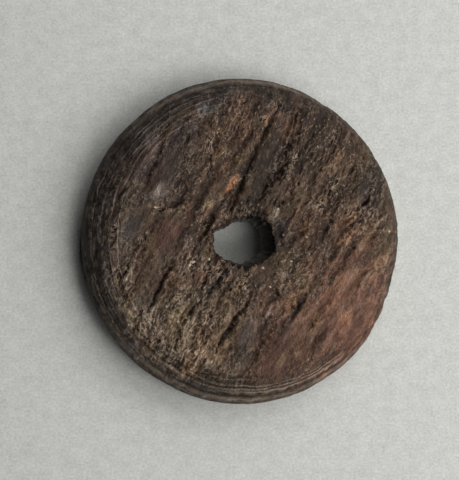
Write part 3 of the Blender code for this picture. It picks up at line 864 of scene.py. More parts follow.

# Patches of another colour, each over the ones before, partly stains and partly painted shade and light: x,
# y, length along the grain and width in millimetres, softness, strength, and the red, green and blue that it
# looks like
stainsAndShading = [
    # the large areas
    (-9.5, 9.5, 9, 5.5, 0.6, 0.9, 67, 57, 54), (-1.5, 12, 8, 5, 0.6, 0.9, 70, 56, 44),
    (8, 11, 10, 5, 0.6, 0.9, 64, 52, 43), (10.5, 2, 9, 6, 0.6, 0.9, 81, 65, 53),
    (1, -7.5, 7, 3.5, 0.6, 0.8, 78, 65, 56), (-8, -10, 10, 6, 0.6, 0.9, 108, 96, 83),
    (-7, 0, 6, 3.5, 0.6, 0.8, 76, 61, 53), (9.5, -9.5, 15, 9, 0.45, 1, 98, 75, 64),
    # smaller ones: russet, pinkish and olive, then the ochre and the grey
    (10.2, -9, 11, 7, 0.5, 0.6, 110, 83, 71), (3, -14, 4.6, 3.6, 0.4, 0.75, 88, 66, 57),
    (12.2, -5.2, 3.2, 2.2, 0.5, 0.6, 122, 90, 76), (15.2, -10.5, 3.6, 1.6, 0.5, 0.5, 118, 92, 74),
    (6.8, -6.2, 4.2, 1.3, 0.5, 0.6, 98, 82, 60), (6, -12.6, 2, 1, 0.5, 0.6, 112, 92, 68),
    (-9.6, 0.9, 2.8, 1.8, 0.3, 0.9, 86, 63, 55), (-13.6, 9.6, 3.6, 2.4, 0.5, 0.8, 70, 58, 56),
    (-14.8, 0.6, 6.2, 2.6, 0.6, 0.65, 76, 72, 72), (-10.6, 5.6, 1, 0.7, 0.5, 0.7, 112, 106, 102),
    (-5.7, 15.2, 1.2, 0.9, 0.5, 0.7, 104, 99, 98), (-14.2, -1.3, 1.4, 0.8, 0.5, 0.5, 102, 96, 92),
    (-3.4, 11.6, 4.6, 2.6, 0.6, 0.75, 90, 72, 56), (-1, 13.8, 2.4, 2.2, 0.6, 0.6, 102, 80, 66),
    (2.1, 10.4, 4.6, 1.1, 0.3, 0.9, 53, 44, 36), (-7.4, -9.6, 6.2, 3.2, 0.55, 0.8, 106, 95, 80),
    (-4.6, -12, 4.6, 2.2, 0.55, 0.75, 112, 94, 74), (-11.4, -9, 3.6, 2.4, 0.6, 0.75, 106, 99, 88),
    (-0.6, -11.2, 3.4, 1.3, 0.35, 0.85, 80, 70, 66), (-4.6, -5, 2.6, 1.1, 0.4, 0.8, 72, 60, 54),
    (9.6, 1.6, 7, 4, 0.6, 0.55, 90, 71, 58), (14.4, 0.6, 3.2, 2.2, 0.6, 0.55, 102, 84, 68),
    (-1.52, 7.3, 0.8, 0.5, 0.3, 0.8, 180, 142, 114), (-1.75, 6.8, 1, 0.68, 0.3, 1, 204, 156, 124),
    (-2.05, 6.15, 1.1, 0.7, 0.3, 1, 188, 142, 110), (2.5, 14.5, 2, 0.55, 0.4, 0.85, 138, 108, 88),
    (-10.9, 3.85, 0.42, 0.34, 0.35, 1, 168, 140, 108), (4.33, -4.2, 0.8, 0.6, 0.6, 0.7, 132, 124, 116),
    (-1.1, 15.8, 1.9, 1.4, 0.45, 0.7, 98, 76, 66), (9.6, 12.3, 0.9, 0.5, 0.4, 0.5, 104, 84, 74),
    (-14.4, 4.2, 1.3, 1, 0.5, 0.55, 84, 78, 64), (-8.6, 13.1, 0.4, 0.4, 0.5, 0.6, 108, 100, 92),
    (-1, -5, 1.4, 0.9, 0.5, 0.55, 116, 96, 76), (0.3, -9.4, 1, 0.6, 0.5, 0.6, 100, 94, 90),
    (-1.1, -14, 1.6, 0.8, 0.5, 0.65, 104, 98, 88), (6.1, -5.4, 2.2, 0.45, 0.4, 0.6, 108, 92, 68),
    (3.7, -13.9, 1.3, 0.5, 0.5, 0.6, 112, 96, 74), (10.2, -12.1, 0.7, 0.5, 0.5, 0.55, 124, 112, 100),
    (15.1, 1.8, 1.2, 0.7, 0.5, 0.5, 116, 98, 80), (12.6, -3.4, 1.4, 1, 0.5, 0.55, 98, 88, 78),
    (-4, -5.5, 1.6, 0.8, 0.4, 0.7, 56, 48, 44), (3, 7.9, 2.4, 0.9, 0.4, 0.6, 50, 42, 34),
    (6, -7.8, 1.8, 0.6, 0.4, 0.55, 58, 46, 38), (9, 1.5, 2.4, 0.6, 0.4, 0.45, 54, 44, 36),
    # dark hollows and edges, and pale banks: stains with painted shade in the hollows and on the edges,
    # painted light on the banks
    (1.5, 4.2, 5.2, 3, 0.6, 0.8, 54, 44, 37), (0.9, 2.9, 1.6, 1.7, 0.5, 0.9, 34, 28, 25),
    (2.4, 2, 1.4, 1.5, 0.6, 0.6, 48, 42, 39), (3.2, 8.9, 6.8, 2.8, 0.55, 0.65, 60, 50, 42),
    (-7.4, 12.4, 3.6, 2.2, 0.55, 0.65, 62, 54, 52), (-7.4, 6.1, 2.4, 1.6, 0.55, 0.6, 58, 48, 42),
    (-13.8, 1.1, 3.6, 1.8, 0.6, 0.65, 56, 53, 52), (-12.1, -6.5, 3, 1.4, 0.5, 0.55, 52, 48, 44),
    (10.5, 4.5, 2.4, 1.5, 0.6, 0.6, 50, 41, 35), (14.2, 6.3, 3.2, 2, 0.6, 0.6, 60, 55, 52),
    (9.3, 0.9, 4.8, 1.5, 0.6, 0.5, 58, 46, 39), (3.9, -10.9, 3.2, 1.7, 0.55, 0.55, 66, 48, 41),
    (7.7, -12.3, 3.6, 1.8, 0.55, 0.55, 74, 57, 47), (-0.6, -12.8, 3.8, 1.5, 0.5, 0.6, 58, 52, 49),
    (-3.7, -11.1, 2.8, 1.3, 0.6, 0.4, 60, 52, 46), (-2.5, -2.6, 2, 0.9, 0.6, 0.6, 44, 37, 32),
    (-5.2, 2.5, 2.2, 1, 0.6, 0.5, 56, 44, 37), (10.4, 15.2, 7, 2.2, 0.6, 0.7, 54, 46, 40),
    (15.9, 9.2, 4.2, 1.8, 0.6, 0.55, 56, 49, 44), (4.9, 13.3, 2.6, 1.5, 0.6, 0.55, 114, 92, 79),
    (-10.3, 5.4, 1.7, 1.5, 0.6, 0.6, 106, 98, 90), (-12.8, -9.2, 2.4, 1.9, 0.6, 0.65, 112, 104, 92),
    (-8.4, -3.7, 2.2, 1.6, 0.6, 0.45, 98, 82, 68), (-5.8, -4, 2, 1.4, 0.6, 0.45, 98, 80, 66),
    (10.9, -5.7, 4, 1.5, 0.5, 0.55, 118, 100, 84), (15.7, -2.8, 2.8, 1.4, 0.55, 0.7, 134, 105, 84),
    (15.6, -6.9, 4.6, 1.5, 0.55, 0.6, 120, 90, 75), (14.8, -9.8, 4.2, 1.6, 0.55, 0.6, 112, 84, 70),
    (-5.2, -13.4, 4.4, 1.7, 0.55, 0.6, 100, 90, 76), (-2.5, 15.6, 2.4, 1.7, 0.6, 0.55, 96, 78, 66),
    (-16.4, 9.4, 5, 1.3, 0.6, 0.55, 78, 62, 56), (-13.4, -11.6, 4.4, 1.8, 0.6, 0.45, 84, 79, 72),
    (-3.6, 15.4, 2.4, 2.6, 0.5, 0.75, 48, 45, 46), (2.4, 16, 3.2, 1.6, 0.5, 0.65, 50, 44, 40),
    (2.4, 11.6, 3.4, 1.2, 0.45, 0.6, 48, 41, 35), (5.2, 8.2, 3, 1, 0.5, 0.65, 46, 37, 30),
    (8.6, 12.4, 4, 2, 0.6, 0.5, 62, 53, 45), (-7, 0.7, 1.8, 1.2, 0.5, 0.65, 52, 43, 40),
    (-6.5, -6.8, 1.8, 1, 0.5, 0.7, 46, 40, 36), (-0.5, 4.1, 1.6, 1.6, 0.5, 0.9, 32, 27, 24),
    (-0.8, 6.9, 3, 0.9, 0.45, 0.65, 44, 35, 29), (3.4, 1.4, 1.8, 1.4, 0.55, 0.7, 50, 48, 49),
    (-15.2, -4.2, 2.4, 1, 0.5, 0.6, 104, 98, 90), (11.4, 2.4, 3.2, 1.1, 0.5, 0.6, 104, 84, 68),
    (4.6, -7.4, 2.6, 0.9, 0.45, 0.6, 118, 92, 74), (7.9, -9.6, 2.2, 0.9, 0.45, 0.6, 122, 102, 82),
    (-12.9, -9.2, 2.2, 0.8, 0.5, 0.5, 118, 112, 102), (-2.3, -13.7, 1.8, 0.9, 0.5, 0.55, 100, 96, 92),
    (-2.4, 9.3, 1.8, 1, 0.5, 0.7, 110, 90, 69), (-2.9, 5.2, 2, 0.8, 0.5, 0.5, 92, 72, 58),
    (-4.9, 3.4, 2.2, 0.8, 0.5, 0.5, 90, 70, 56), (6.4, -8.4, 5, 1.2, 0.5, 0.45, 98, 76, 62),
    (11.6, -7, 3.2, 1.2, 0.5, 0.5, 128, 106, 92), (-15.4, 4.6, 4.6, 1.4, 0.6, 0.55, 70, 68, 66),
    (-11.8, 12.2, 4, 2, 0.6, 0.5, 74, 68, 68), (13.9, 5.9, 2, 1.2, 0.5, 0.55, 54, 50, 48),
    (4.4, 0.6, 3, 1.6, 0.6, 0.45, 66, 58, 52), (3.6, 0.4, 2.6, 1.2, 0.6, 0.75, 46, 42, 41),
    (-11.5, -4.8, 5.6, 2.2, 0.5, 0.85, 82, 70, 61), (-10.9, -5.1, 5, 1, 0.6, 0.6, 80, 65, 54),
    (-10.5, -5.3, 5, 0.6, 0.6, 0.4, 72, 58, 47), (-2.6, -2.45, 0.5, 0.5, 0.4, 0.9, 26, 21, 18),
    (-1.9, -2.78, 0.5, 0.5, 0.4, 0.9, 26, 21, 18), (-1.2, -3.02, 0.5, 0.5, 0.4, 0.9, 26, 21, 18),
    (-0.4, -3.4, 0.5, 0.5, 0.4, 0.8, 26, 21, 18), (-4.6, 0.6, 2.6, 1.2, 0.6, 0.6, 72, 59, 51),
    (-12, -8, 1.8, 1.6, 0.6, 0.65, 112, 105, 103), (-9.6, -14.2, 2.4, 1.4, 0.6, 0.6, 88, 80, 78),
    (-13.6, -8.9, 1, 0.8, 0.4, 0.8, 134, 126, 106), (-7.6, -8.6, 1.6, 0.9, 0.4, 0.65, 130, 118, 94),
    (-5.4, -12, 2.6, 0.9, 0.5, 0.65, 122, 100, 76), (-3.6, -12.6, 2.4, 0.7, 0.5, 0.6, 124, 104, 80),
    (-5.8, -6.2, 2, 1.2, 0.6, 0.5, 84, 68, 57), (-1.6, 15.4, 2.2, 1.8, 0.6, 0.6, 92, 73, 63),
    (5, 14.2, 3, 0.5, 0.5, 0.6, 112, 90, 78), (-1.95, 5.6, 0.6, 0.6, 0.5, 0.7, 42, 33, 27),
    (-11.3, 11.3, 2.2, 1.3, 0.5, 0.6, 108, 98, 98), (-16.2, -9.2, 4, 1.2, 0.6, 0.75, 82, 81, 74),
    (-13.8, -13.2, 4, 1.2, 0.6, 0.6, 62, 62, 57), (-0.8, 7.8, 2.8, 1.1, 0.5, 0.6, 48, 39, 32),
    (11.4, -5.9, 3.6, 1.6, 0.6, 0.65, 126, 98, 84), (11.7, 2.2, 2.6, 1.5, 0.6, 0.6, 116, 92, 72),
    (15.1, 4.2, 2.4, 1.3, 0.6, 0.55, 62, 55, 51), (7, -9.8, 2.6, 1.2, 0.5, 0.6, 124, 104, 88),
    (5.2, -8.4, 3, 1.2, 0.5, 0.65, 58, 44, 37), (5.5, 11.5, 8, 4.4, 0.6, 0.35, 60, 49, 40),
    (-15.6, 7.6, 4.6, 1.8, 0.6, 0.6, 66, 51, 49), (-13.4, 7.6, 3.4, 1.4, 0.6, 0.6, 70, 60, 60),
    (-11.6, -14.2, 3, 2, 0.6, 0.55, 92, 86, 78), (-8.4, -16.2, 3, 2, 0.6, 0.55, 94, 88, 80),
    (-5, -17.6, 3, 2.4, 0.6, 0.6, 96, 90, 82), (-1.8, -18.2, 3, 2.6, 0.6, 0.6, 88, 82, 74),
    (1.6, -18.2, 3, 2.6, 0.6, 0.6, 92, 84, 75), (4.8, -17.6, 3, 2.4, 0.6, 0.55, 92, 82, 73),
    (-10.5, -12.2, 3.6, 1.6, 0.6, 0.5, 104, 98, 86), (-3.4, 11.6, 4.6, 2.6, 0.6, 0.45, 82, 65, 51),
    (-5.2, -16, 1.7, 1, 0.6, 0.6, 50, 46, 42), (-4.1, -16.4, 1.7, 1.2, 0.6, 0.6, 50, 46, 42),
    (-2.5, -16.8, 1.7, 1.2, 0.6, 0.6, 50, 47, 43), (-11.4, -12.7, 2.4, 0.9, 0.6, 0.6, 94, 86, 83),
    (-15.8, 1.2, 2, 1.2, 0.6, 0.5, 90, 88, 84), (-6.7, -14.2, 2.2, 1.2, 0.5, 0.7, 124, 106, 88),
    (-3, -13.9, 2.2, 1.2, 0.5, 0.75, 128, 114, 100),
    # ridges, flakes and dips: their colour, with painted light and shade on their sides
    (-15.5, -8.1, 2.4, 1.2, 0.6, 0.75, 106, 98, 89), (-13.5, -11.6, 2.8, 1.7, 0.6, 0.75, 114, 104, 94),
    (-12.9, -9.9, 1.8, 1.2, 0.5, 0.8, 138, 126, 111), (-14.8, -3.9, 2.6, 1.2, 0.6, 0.6, 106, 95, 84),
    (15.2, 6.6, 3.6, 2.4, 0.6, 0.9, 46, 39, 35), (8.4, -2.2, 2.2, 1.1, 0.5, 0.55, 66, 52, 43),
    (4.8, 16.2, 2, 1.2, 0.6, 0.78, 46, 40, 35), (2.6, 9.8, 3.6, 1.2, 0.5, 0.6, 46, 38, 31),
    (-6.1, -6.8, 3, 1.3, 0.5, 0.7, 54, 45, 38), (-5.9, -3.1, 1.6, 1, 0.5, 0.5, 64, 53, 45),
    (-10.1, 3.4, 1.8, 0.9, 0.5, 0.7, 52, 42, 35), (10.1, -6.5, 2.8, 1.3, 0.5, 0.8, 152, 116, 98),
    (4.4, -4.9, 1.8, 1, 0.5, 0.82, 138, 122, 108), (3.08, 3.18, 0.8, 0.6, 0.5, 0.9, 140, 132, 114),
    (-13.7, -8.3, 1.6, 0.6, 0.4, 0.8, 142, 130, 110), (-11.9, -9.3, 1.4, 0.8, 0.5, 0.6, 120, 116, 102),
    (-8.6, -9.2, 1.6, 0.8, 0.4, 0.65, 132, 118, 92), (-5.8, -10.9, 1.9, 1, 0.5, 0.8, 142, 122, 100),
    (-3.1, -7.5, 1.7, 1, 0.5, 0.7, 124, 107, 91), (-12.6, -3.9, 2.4, 1.2, 0.6, 0.5, 100, 85, 74),
    (4.7, -7.7, 2, 1, 0.5, 0.8, 134, 106, 87), (10.3, 8.9, 2.4, 1.1, 0.5, 0.7, 122, 102, 85),
    (-2.1, -17.2, 1.7, 1.3, 0.5, 0.75, 44, 39, 37), (7.3, -7.3, 1.8, 0.8, 0.5, 0.55, 74, 54, 44),
    (-7.2, 0, 1.4, 0.9, 0.5, 0.7, 50, 41, 35), (13.5, -4.3, 2.2, 1.3, 0.5, 0.6, 132, 110, 92),
    (6.6, 1.5, 1.8, 1, 0.5, 0.75, 126, 102, 83), (12.3, 11.4, 2.4, 1.2, 0.6, 0.6, 62, 54, 47),
    (14.7, 7.8, 2.2, 1.2, 0.6, 0.75, 50, 43, 38), (-12.2, -7.3, 1.8, 0.9, 0.5, 0.6, 58, 51, 44),
    (-11.7, -11.2, 2, 1.2, 0.5, 0.75, 132, 117, 104), (-4, 5.3, 1.6, 0.9, 0.5, 0.7, 60, 47, 37),
    (-5, 13.7, 1.6, 1, 0.5, 0.55, 98, 83, 70), (8, -10.6, 1.8, 0.5, 0.4, 0.6, 136, 122, 110),
    (2, -8.9, 1.6, 0.35, 0.4, 0.6, 122, 108, 106), (5.2, -13.6, 2.2, 0.45, 0.4, 0.55, 120, 98, 76),
    (-14.2, -1.7, 2.4, 1.3, 0.6, 0.75, 112, 103, 94), (4.7, 5.7, 1.8, 1, 0.5, 0.65, 118, 100, 85),
    (8.1, 7.1, 1.8, 1, 0.5, 0.7, 116, 98, 83), (1.5, -6.9, 1.8, 0.9, 0.5, 0.5, 116, 93, 78),
    (1.7, -11.1, 1.8, 1, 0.5, 0.7, 112, 88, 76), (-0.7, 12.5, 1.8, 1, 0.5, 0.7, 114, 94, 79),
    (-8.5, 14.4, 1.8, 1, 0.6, 0.5, 90, 80, 72), (-1.8, -8.7, 1.6, 0.9, 0.5, 0.75, 130, 111, 93),
    (8.8, -14.4, 2.4, 1.2, 0.6, 0.65, 68, 52, 44), (-1.9, -4.2, 1.2, 0.8, 0.5, 0.5, 58, 47, 40),
    (-17.8, -0.5, 2.4, 1.6, 0.6, 0.6, 68, 62, 57),
    # colours of single spots, with painted shade beside the hole and along the edge among them
    (-10.5, 5.7, 1.5, 1.2, 0.4, 0.72, 116, 109, 102), (-11.5, 11.3, 1.6, 0.9, 0.5, 0.6, 108, 96, 94),
    (-4.9, 15.1, 1.3, 1.1, 0.45, 0.75, 84, 88, 90), (-4.3, 14, 0.8, 0.5, 0.5, 0.7, 132, 120, 104),
    (-8.5, 13.2, 1.3, 0.9, 0.5, 0.6, 100, 95, 94), (-13.4, 6.5, 0.8, 0.7, 0.5, 0.7, 112, 106, 96),
    (-7.3, 3.1, 1.3, 0.5, 0.4, 0.7, 128, 96, 76), (-4.6, 4.1, 0.8, 0.6, 0.5, 0.7, 124, 110, 88),
    (-6.6, 8.4, 1.4, 1, 0.5, 0.6, 90, 82, 62), (-8.4, -8.7, 2, 1.3, 0.4, 0.75, 132, 122, 96),
    (-14.7, -7.8, 1.5, 0.6, 0.35, 0.85, 148, 138, 116), (-13.1, -7.4, 1.5, 0.9, 0.5, 0.4, 104, 98, 98),
    (-12, -9.4, 2.2, 0.8, 0.5, 0.65, 130, 127, 110), (-11.3, -13.3, 1.5, 1, 0.5, 0.6, 114, 106, 96),
    (-14, -12.6, 2.2, 0.8, 0.5, 0.6, 74, 84, 82), (-9, -16.4, 2.6, 0.8, 0.5, 0.5, 108, 94, 84),
    (-5.7, -4.1, 1.3, 1, 0.5, 0.65, 102, 73, 59), (-3.9, -5.2, 1.3, 0.9, 0.45, 0.7, 46, 43, 43),
    (-2.3, -3.6, 1.2, 0.6, 0.5, 0.6, 76, 69, 68), (4.4, -4.3, 1, 0.7, 0.5, 0.7, 136, 124, 118),
    (-6.7, -14.4, 2.6, 1.5, 0.5, 0.9, 164, 143, 121), (11.7, 1.3, 2.7, 1.4, 0.5, 0.8, 146, 116, 95),
    (-11.9, -12.4, 2.2, 1.3, 0.5, 0.8, 136, 124, 111), (-17.8, -0.5, 2.4, 1.2, 0.6, 0.7, 96, 89, 83),
    (-8.9, -4.9, 2.4, 1.2, 0.5, 0.78, 124, 106, 91), (-15.2, -4.3, 2.2, 1.1, 0.6, 0.6, 120, 109, 98),
    (-15.4, 9.5, 2.4, 1.2, 0.6, 0.6, 94, 83, 77), (-3.2, 16.9, 1.9, 1.2, 0.6, 0.8, 36, 33, 33),
    (7.1, 15.3, 2.2, 1.4, 0.6, 0.6, 44, 38, 33), (-12.2, -6.6, 1.8, 1.1, 0.5, 0.7, 50, 44, 38),
    (-7.7, -6.6, 1.6, 1, 0.5, 0.5, 62, 53, 45), (-6.1, -2.5, 1.6, 1, 0.5, 0.65, 52, 42, 36),
    (14.3, 2.9, 1.8, 1.1, 0.5, 0.55, 62, 50, 42), (9, -1.1, 2, 1, 0.5, 0.55, 56, 44, 37),
    (11.4, -9.6, 2.2, 1.2, 0.5, 0.55, 156, 120, 100), (4.9, -16.2, 2, 1.2, 0.6, 0.5, 62, 52, 46),
    (2.5, 16.8, 1.8, 1.2, 0.6, 0.55, 46, 40, 36), (1, -12.5, 1.8, 1, 0.5, 0.55, 112, 94, 80),
    (8.6, 17, 5, 1.4, 0.6, 0.6, 50, 44, 40), (3.1, 0.1, 2.4, 0.7, 0.6, 0.7, 38, 34, 33),
    (7, 12.3, 1.8, 1, 0.5, 0.55, 104, 86, 73), (0.6, -8.7, 1.6, 0.9, 0.5, 0.55, 126, 104, 92),
    (-15, -10.3, 2, 1, 0.5, 0.6, 96, 87, 75), (4.7, 12.8, 1.6, 0.9, 0.5, 0.5, 108, 90, 75),
    (5.1, 9.8, 2, 1.1, 0.5, 0.5, 46, 37, 30), (2.8, 8.3, 1.8, 1, 0.5, 0.5, 38, 31, 25),
    (-5, -6.5, 1.6, 0.9, 0.5, 0.5, 52, 43, 37), (-7.8, 15.3, 2, 1.2, 0.6, 0.55, 92, 81, 72),
    (-1.6, 5.2, 1.3, 0.9, 0.5, 0.75, 98, 79, 63), (7.3, -11.4, 1.8, 1, 0.5, 0.5, 66, 48, 39),
    (14, 0.2, 1.8, 1.1, 0.5, 0.55, 130, 106, 87), (-6, -4.9, 1.6, 0.9, 0.5, 0.5, 112, 92, 76),
    (10.9, 3.7, 1.8, 1, 0.5, 0.5, 56, 44, 36), (8.9, 9.5, 1.8, 1, 0.5, 0.5, 108, 91, 76),
    (5.9, -1.7, 1.8, 1, 0.5, 0.5, 50, 41, 34), (-3.3, -3.9, 1.3, 0.8, 0.5, 0.55, 46, 39, 34),
    (1, 7, 1.8, 1, 0.5, 0.5, 42, 34, 28), (-18.4, -2.8, 2.4, 1.2, 0.6, 0.6, 74, 67, 61),
    (10, 1.6, 1.8, 0.9, 0.5, 0.5, 54, 43, 35),
]


def boneMaterial():
    material = bpy.data.materials.new("dark_bone")
    material.use_nodes = True
    shader = material.node_tree.nodes["Principled BSDF"]
    t = Tree(material.node_tree)

    # millimetres, with X along the grain
    place = t.millimetres()
    turn = -math.radians(grain["angle"])
    along = t.add("VectorRotate", {"Vector": place, "Axis": (0, 0, 1), "Angle": turn}).outputs[0]
    parts = t.split(place)
    direction = t.vector("NORMALIZE", t.joined(parts[0], parts[1]))
    names = ("rough", "hollow", "crumb", "rise", "inset", "narrow", "kept", "spongy", "inside", "white")
    rough, hollow, crumb, rise, inset, narrow, kept, spongy, inside, white = (
        t.add("Attribute", attribute_name=name).outputs["Fac"] for name in names
    )
    kinds = {
        "streaks": grainGroup("streaks", "Detail", makeStreaks),
        "specks": grainGroup("specks", "Amount", makeSpecks),
        "cells": grainGroup("cells", "Twist", makeCells),
        "threads": grainGroup("threads", "Width", makeThreads),
    }
    rings = newGroup("turned_marks", {
        "Round": "Vector", "Inset": "Float", "Pitch": "Float", "Shift": "Float",
    }, makeRings)
    stretch = newGroup("stretch", {
        "Direction": "Vector", "Middle": "Vector", "Low": "Float", "High": "Float", "Inset": "Float",
    }, makeStretch)
    broad, medium, thin, grit, tint, uneven, patch, flecks, pits, glints, walls, gaps, worms = (
        t.use(kinds[kind], {"Place": along, "Size": (long, wide, long), "Shift": shift, 3: setting})
        for kind, long, wide, shift, setting in patterns.values()
    )
    marks, strokes, groups = (
        t.use(rings, {0: t.vector("MULTIPLY", direction, (often, often, 0)), 1: inset, 2: pitch, 3: shift})
        for often, pitch, shift in turnedPatterns.values()
    )
    band = t.math("ADD", inset, narrow)
    edge = t.ramp(t.fit(medium, 0.9, band), 3.4, 2.4)
    wide = t.ramp(t.fit(medium, 1.6, band), 5.4, 3.4)
    leftward = t.ramp(t.split(direction)[0], 0.30, -0.45)

    color = t.mix(t.ramp(broad, 0.35, 0.70), boneLook["brown"], boneLook["olive"])
    color = t.mix(t.times(edge, 0.8), color, boneLook["rimBrown"])
    # the stains, with painted shade and light among them, laid over the colour
    patches = t.add("Attribute", attribute_name="stainAndShading").outputs
    color = t.mix(patches["Alpha"], color, (0, 0, 0, 1))
    color = t.mix(1.0, color, patches["Color"], "ADD")
    # painted sheen: the turned band greyer towards the left
    color = t.mix(t.times(edge, leftward, 0.40), color, t.luminance(color))
    tint = t.mix(t.ramp(tint, 0.25, 0.75), boneLook["cool"], boneLook["warm"])
    color = t.mix(1.0, color, tint, "MULTIPLY")

    # light and dark fibres, grit and turned marks, and painted shade in the hollows with painted light on the
    # raised places
    coarse = t.times(t.ramp(uneven, 0.25, 0.75, 0.5, 1.3), t.fit(rough, 0.75, 0.25))
    shade = t.times(t.fit(medium, 0.90, 0.43), t.fit(patch, 0.60, 0.68), t.fit(thin, 0.70, 0.61))
    shade = t.times(shade, t.partly(coarse, t.fit(grit, 0.85, 0.56)))
    turnedShare = t.times(edge, t.fit(kept, 0.7, 0.3))
    shade = t.times(shade, t.partly(turnedShare, t.fit(marks, 1.1, 0.45)))
    strokeShare = t.times(wide, leftward, t.ramp(groups, 0.40, 0.66, 0.2, 0.95))
    shade = t.times(shade, t.partly(strokeShare, t.ramp(strokes, 0.30, 0.85, 0.45, 1.7)))
    # painted shade and light of the relief: hollows darker, raised places lighter
    shade = t.times(shade, t.ramp(rise, -0.16, 0.10, 0.50, 1.35, "LINEAR"))
    shade = t.times(shade, t.ramp(crumb, -0.07, 0.06, 0.55, 1.40, "LINEAR"))
    # the light parts are a little greyer, the dark ones a little redder
    color = t.shaded(color, t.math("POWER", shade, 0.87), shade, t.math("POWER", shade, 1.11))
    # pale grey turned strokes on the left flank: turned marks, with painted highlights on their ridges
    color = t.mix(t.times(t.ramp(strokes, 0.55, 0.85), strokeShare, 0.65), color, boneLook["grey"])

    # flecks, walls and threads of spongy bone, pits, and painted glints
    raised = t.fit(t.ramp(crumb, -0.01, 0.05), 0.75, 0.05)
    color = t.mix(t.times(flecks, raised, t.fit(rough, 0.8, 0.2)), color, boneLook["pale"])
    walls = t.times(walls, t.ramp(grit, 0.35, 0.65), t.ramp(crumb, -0.03, 0.03))
    color = t.mix(t.times(walls, spongy, 0.26), color, boneLook["wall"])
    gapShare = t.fit(spongy, 0.60, t.times(rough, 0.22))
    color = t.mix(t.times(gaps, gapShare), color, boneLook["dark"])
    wormShare = t.times(t.fit(spongy, 0.85, 0.03), t.ramp(uneven, 0.25, 0.60))
    color = t.mix(t.times(worms, wormShare), color, boneLook["wall"])
    color = t.mix(t.times(pits, t.fit(rough, 0.6, 0.05)), color, boneLook["dark"])
    # painted glints: small highlights on the rough bone
    color = t.mix(t.times(glints, rough, t.ramp(uneven, 0.30, 0.60), 0.68), color, boneLook["glint"])
    lightness = t.math("DIVIDE", t.luminance(color), boneLook["middle"])
    lift = t.math("POWER", lightness, boneLook["contrast"])
    color = t.shaded(color, lift, lift, lift)

    # the turned lines
    height = t.times(marks, edge)
    uneasy = t.math("ADD", t.fit(medium, 0.20, -0.14), t.times(grit, 0.08))
    across = t.math("DIVIDE", t.math("ADD", inset, uneasy), turnedDepth)
    for middle, half, lines in turnedLines:
        middle, half = math.radians(middle), math.radians(half)
        mask = t.use(stretch, {
            "Direction": direction, "Middle": (math.cos(middle), math.sin(middle), 0),
            "Low": math.cos(half * 1.3), "High": math.cos(half * 0.6), "Inset": inset,
        })
        tone = t.times(t.math("SUBTRACT", t.lines(across, lines), 0.5), mask)
        color = t.mix(t.math("MULTIPLY", tone, -2.0, clamp=True), color, boneLook["dark"])
        color = t.mix(t.math("MULTIPLY", tone, 2.0, clamp=True), color, boneLook["line"])
        height = t.math("ADD", height, tone)

    color = t.mix(t.times(t.ramp(hollow, 0.05, 0.36), 0.70), color, boneLook["crack"])
    # the white grains, and painted highlights
    color = t.mix(t.times(white, 0.8), color, boneLook["white"])
    # painted shade and light in the hole: its wall dark near the top, pale grey like the floor towards the
    # bottom
    wall = t.mix(t.ramp(inside, 0.24, 1.0), boneLook["inside"], boneLook["deep"])
    color = t.mix(t.ramp(inside, 0.04, 0.25), color, wall)
    t.tree.links.new(color, shader.inputs["Base Color"])
    shader.inputs["Roughness"].default_value = boneLook["roughness"]
    shader.inputs["Specular IOR Level"].default_value = boneLook["specular"]

    standing = {
        "lines": height, "thin": thin, "grit": grit, "medium": medium, "walls": t.times(walls, spongy),
        "strokes": t.times(strokes, strokeShare), "threads": t.math("SUBTRACT", worms, gaps),
    }
    height = 0.0
    for name, value in standing.items():
        height = t.fit(value, heights[name], height)
    lumps = t.add("Bump", {"Height": height, "Distance": mm, "Strength": boneLook["bump"]})
    t.tree.links.new(lumps.outputs[0], shader.inputs["Normal"])
    return material


def makeDisc():
    mesh = turnBlank()
    shapePiece(mesh)
    mesh.materials.append(boneMaterial())
    mesh.shade_smooth()
    disc = bpy.data.objects.new("bone_disc_worn", mesh)
    bpy.context.scene.collection.objects.link(disc)
    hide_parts("bone_disc")
    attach(disc, "root")
    return disc


# Sizes of the fibres and clouds in millimetres, and how much they darken and lighten
floorLook = {
    "size": 2.0, "color": (0.60, 0.605, 0.57, 1), "roughness": 0.85,
    "fibreSize": (0.30, 0.26, 0.30), "fibres": 0.62, "cloudSize": (1.6, 1.4, 1.6), "clouds": 0.46,
}


def makeFloor():
    bm = bmesh.new()
    bmesh.ops.create_grid(bm, x_segments=1, y_segments=1, size=floorLook["size"] / 2)
    mesh = bpy.data.meshes.new("floor")
    bm.to_mesh(mesh)
    bm.free()
    material = bpy.data.materials.new("pale_floor")
    material.use_nodes = True
    shader = material.node_tree.nodes["Principled BSDF"]
    t = Tree(material.node_tree)
    place = t.millimetres()
    fibres = t.noise(t.vector("DIVIDE", place, floorLook["fibreSize"]), 2.0, 0.6)
    clouds = t.noise(t.vector("DIVIDE", place, floorLook["cloudSize"]), 5.0, 0.7)
    shade = t.fit(clouds, floorLook["clouds"], t.times(fibres, floorLook["fibres"]))
    shade = t.math("ADD", shade, 1 - (floorLook["fibres"] + floorLook["clouds"]) / 2)
    t.tree.links.new(t.shaded(floorLook["color"], shade, shade, shade), shader.inputs["Base Color"])
    shader.inputs["Roughness"].default_value = floorLook["roughness"]
    mesh.materials.append(material)
    floor = bpy.data.objects.new("floor", mesh)
    bpy.context.scene.collection.objects.link(floor)
    print("floor made")


# Camera and light

cameraSet = {
    "tiltLeft": 14.0,            # degrees from straight above, towards -X
    "tiltFront": 1.5,            # towards -Y
    "distance": 0.30,
    "discHeight": 327 / 459,     # the disc from top to bottom, as a share of the picture's width
    "shiftX": -0.0308,
    "shiftY": 0.0021,
}


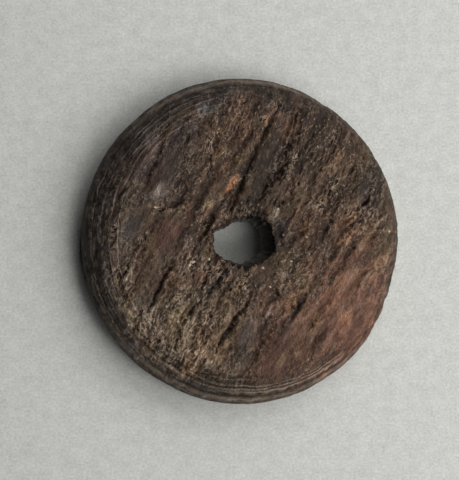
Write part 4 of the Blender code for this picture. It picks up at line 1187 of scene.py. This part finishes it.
def makeCamera():
    left, front = math.radians(cameraSet["tiltLeft"]), math.radians(cameraSet["tiltFront"])
    back = Vector((-math.sin(left) * math.cos(front), -math.sin(front), math.cos(left) * math.cos(front)))
    up = Vector((0, 1, 0)) - back * back.y
    up.normalize()
    right = up.cross(back)
    data = bpy.data.cameras.new("camera")
    data.sensor_fit = "HORIZONTAL"
    data.lens = data.sensor_width * cameraSet["discHeight"] * cameraSet["distance"] / (2 * radius)
    data.clip_start = 0.01
    data.shift_x, data.shift_y = cameraSet["shiftX"], cameraSet["shiftY"]
    camera = bpy.data.objects.new("camera", data)
    turn = Matrix((right, up, back)).transposed().to_4x4()
    middle = Vector((0, 0, thickness / 2))
    camera.matrix_world = Matrix.Translation(middle + back * cameraSet["distance"]) @ turn
    bpy.context.scene.collection.objects.link(camera)
    bpy.context.scene.camera = camera


# The light comes from a wide window on the right, in panes: bearing from +X and height above the floor in
# degrees, width and height in metres, watts
panes = {
    "windowTop": (0, 74, 0.17, 0.11, 0.075),
    "windowMiddle": (0, 25, 0.17, 0.20, 0.28),
    "windowBack": (35, 38, 0.17, 0.14, 0.18),
    "windowFront": (-35, 46, 0.17, 0.21, 0.40),
    "sideBack": (75, 42, 0.20, 0.20, 0.29),
    "sideFront": (-70, 46, 0.17, 0.21, 0.13),
}
paneDistance = 0.30
roomGlow = {"left": 0.0, "right": 0.02}


def makeLights():
    for name, (bearing, height, wide, tall, power) in panes.items():
        data = bpy.data.lights.new(name, "AREA")
        data.shape = "RECTANGLE"
        data.size, data.size_y = wide, tall
        data.energy = power
        light = bpy.data.objects.new(name, data)
        bearing, height = math.radians(bearing), math.radians(height)
        flat = math.cos(height)
        towards = Vector((math.cos(bearing) * flat, math.sin(bearing) * flat, math.sin(height)))
        light.location = towards * paneDistance
        light.rotation_euler = towards.to_track_quat("Z", "Y").to_euler()
        bpy.context.scene.collection.objects.link(light)
    world = bpy.data.worlds.new("room")
    world.use_nodes = True
    background = world.node_tree.nodes["Background"].inputs
    t = Tree(world.node_tree)
    side = t.split(t.add("TexCoord").outputs["Generated"])[0]
    glow = t.ramp(side, -1.0, 1.0, roomGlow["left"], roomGlow["right"], "LINEAR")
    t.tree.links.new(glow, background["Strength"])
    background["Color"].default_value = (1, 1, 1, 1)
    bpy.context.scene.world = world
    bpy.context.scene.view_settings.view_transform = "Standard"
    print("camera and light set")


makeDisc()
makeFloor()
makeCamera()
makeLights()
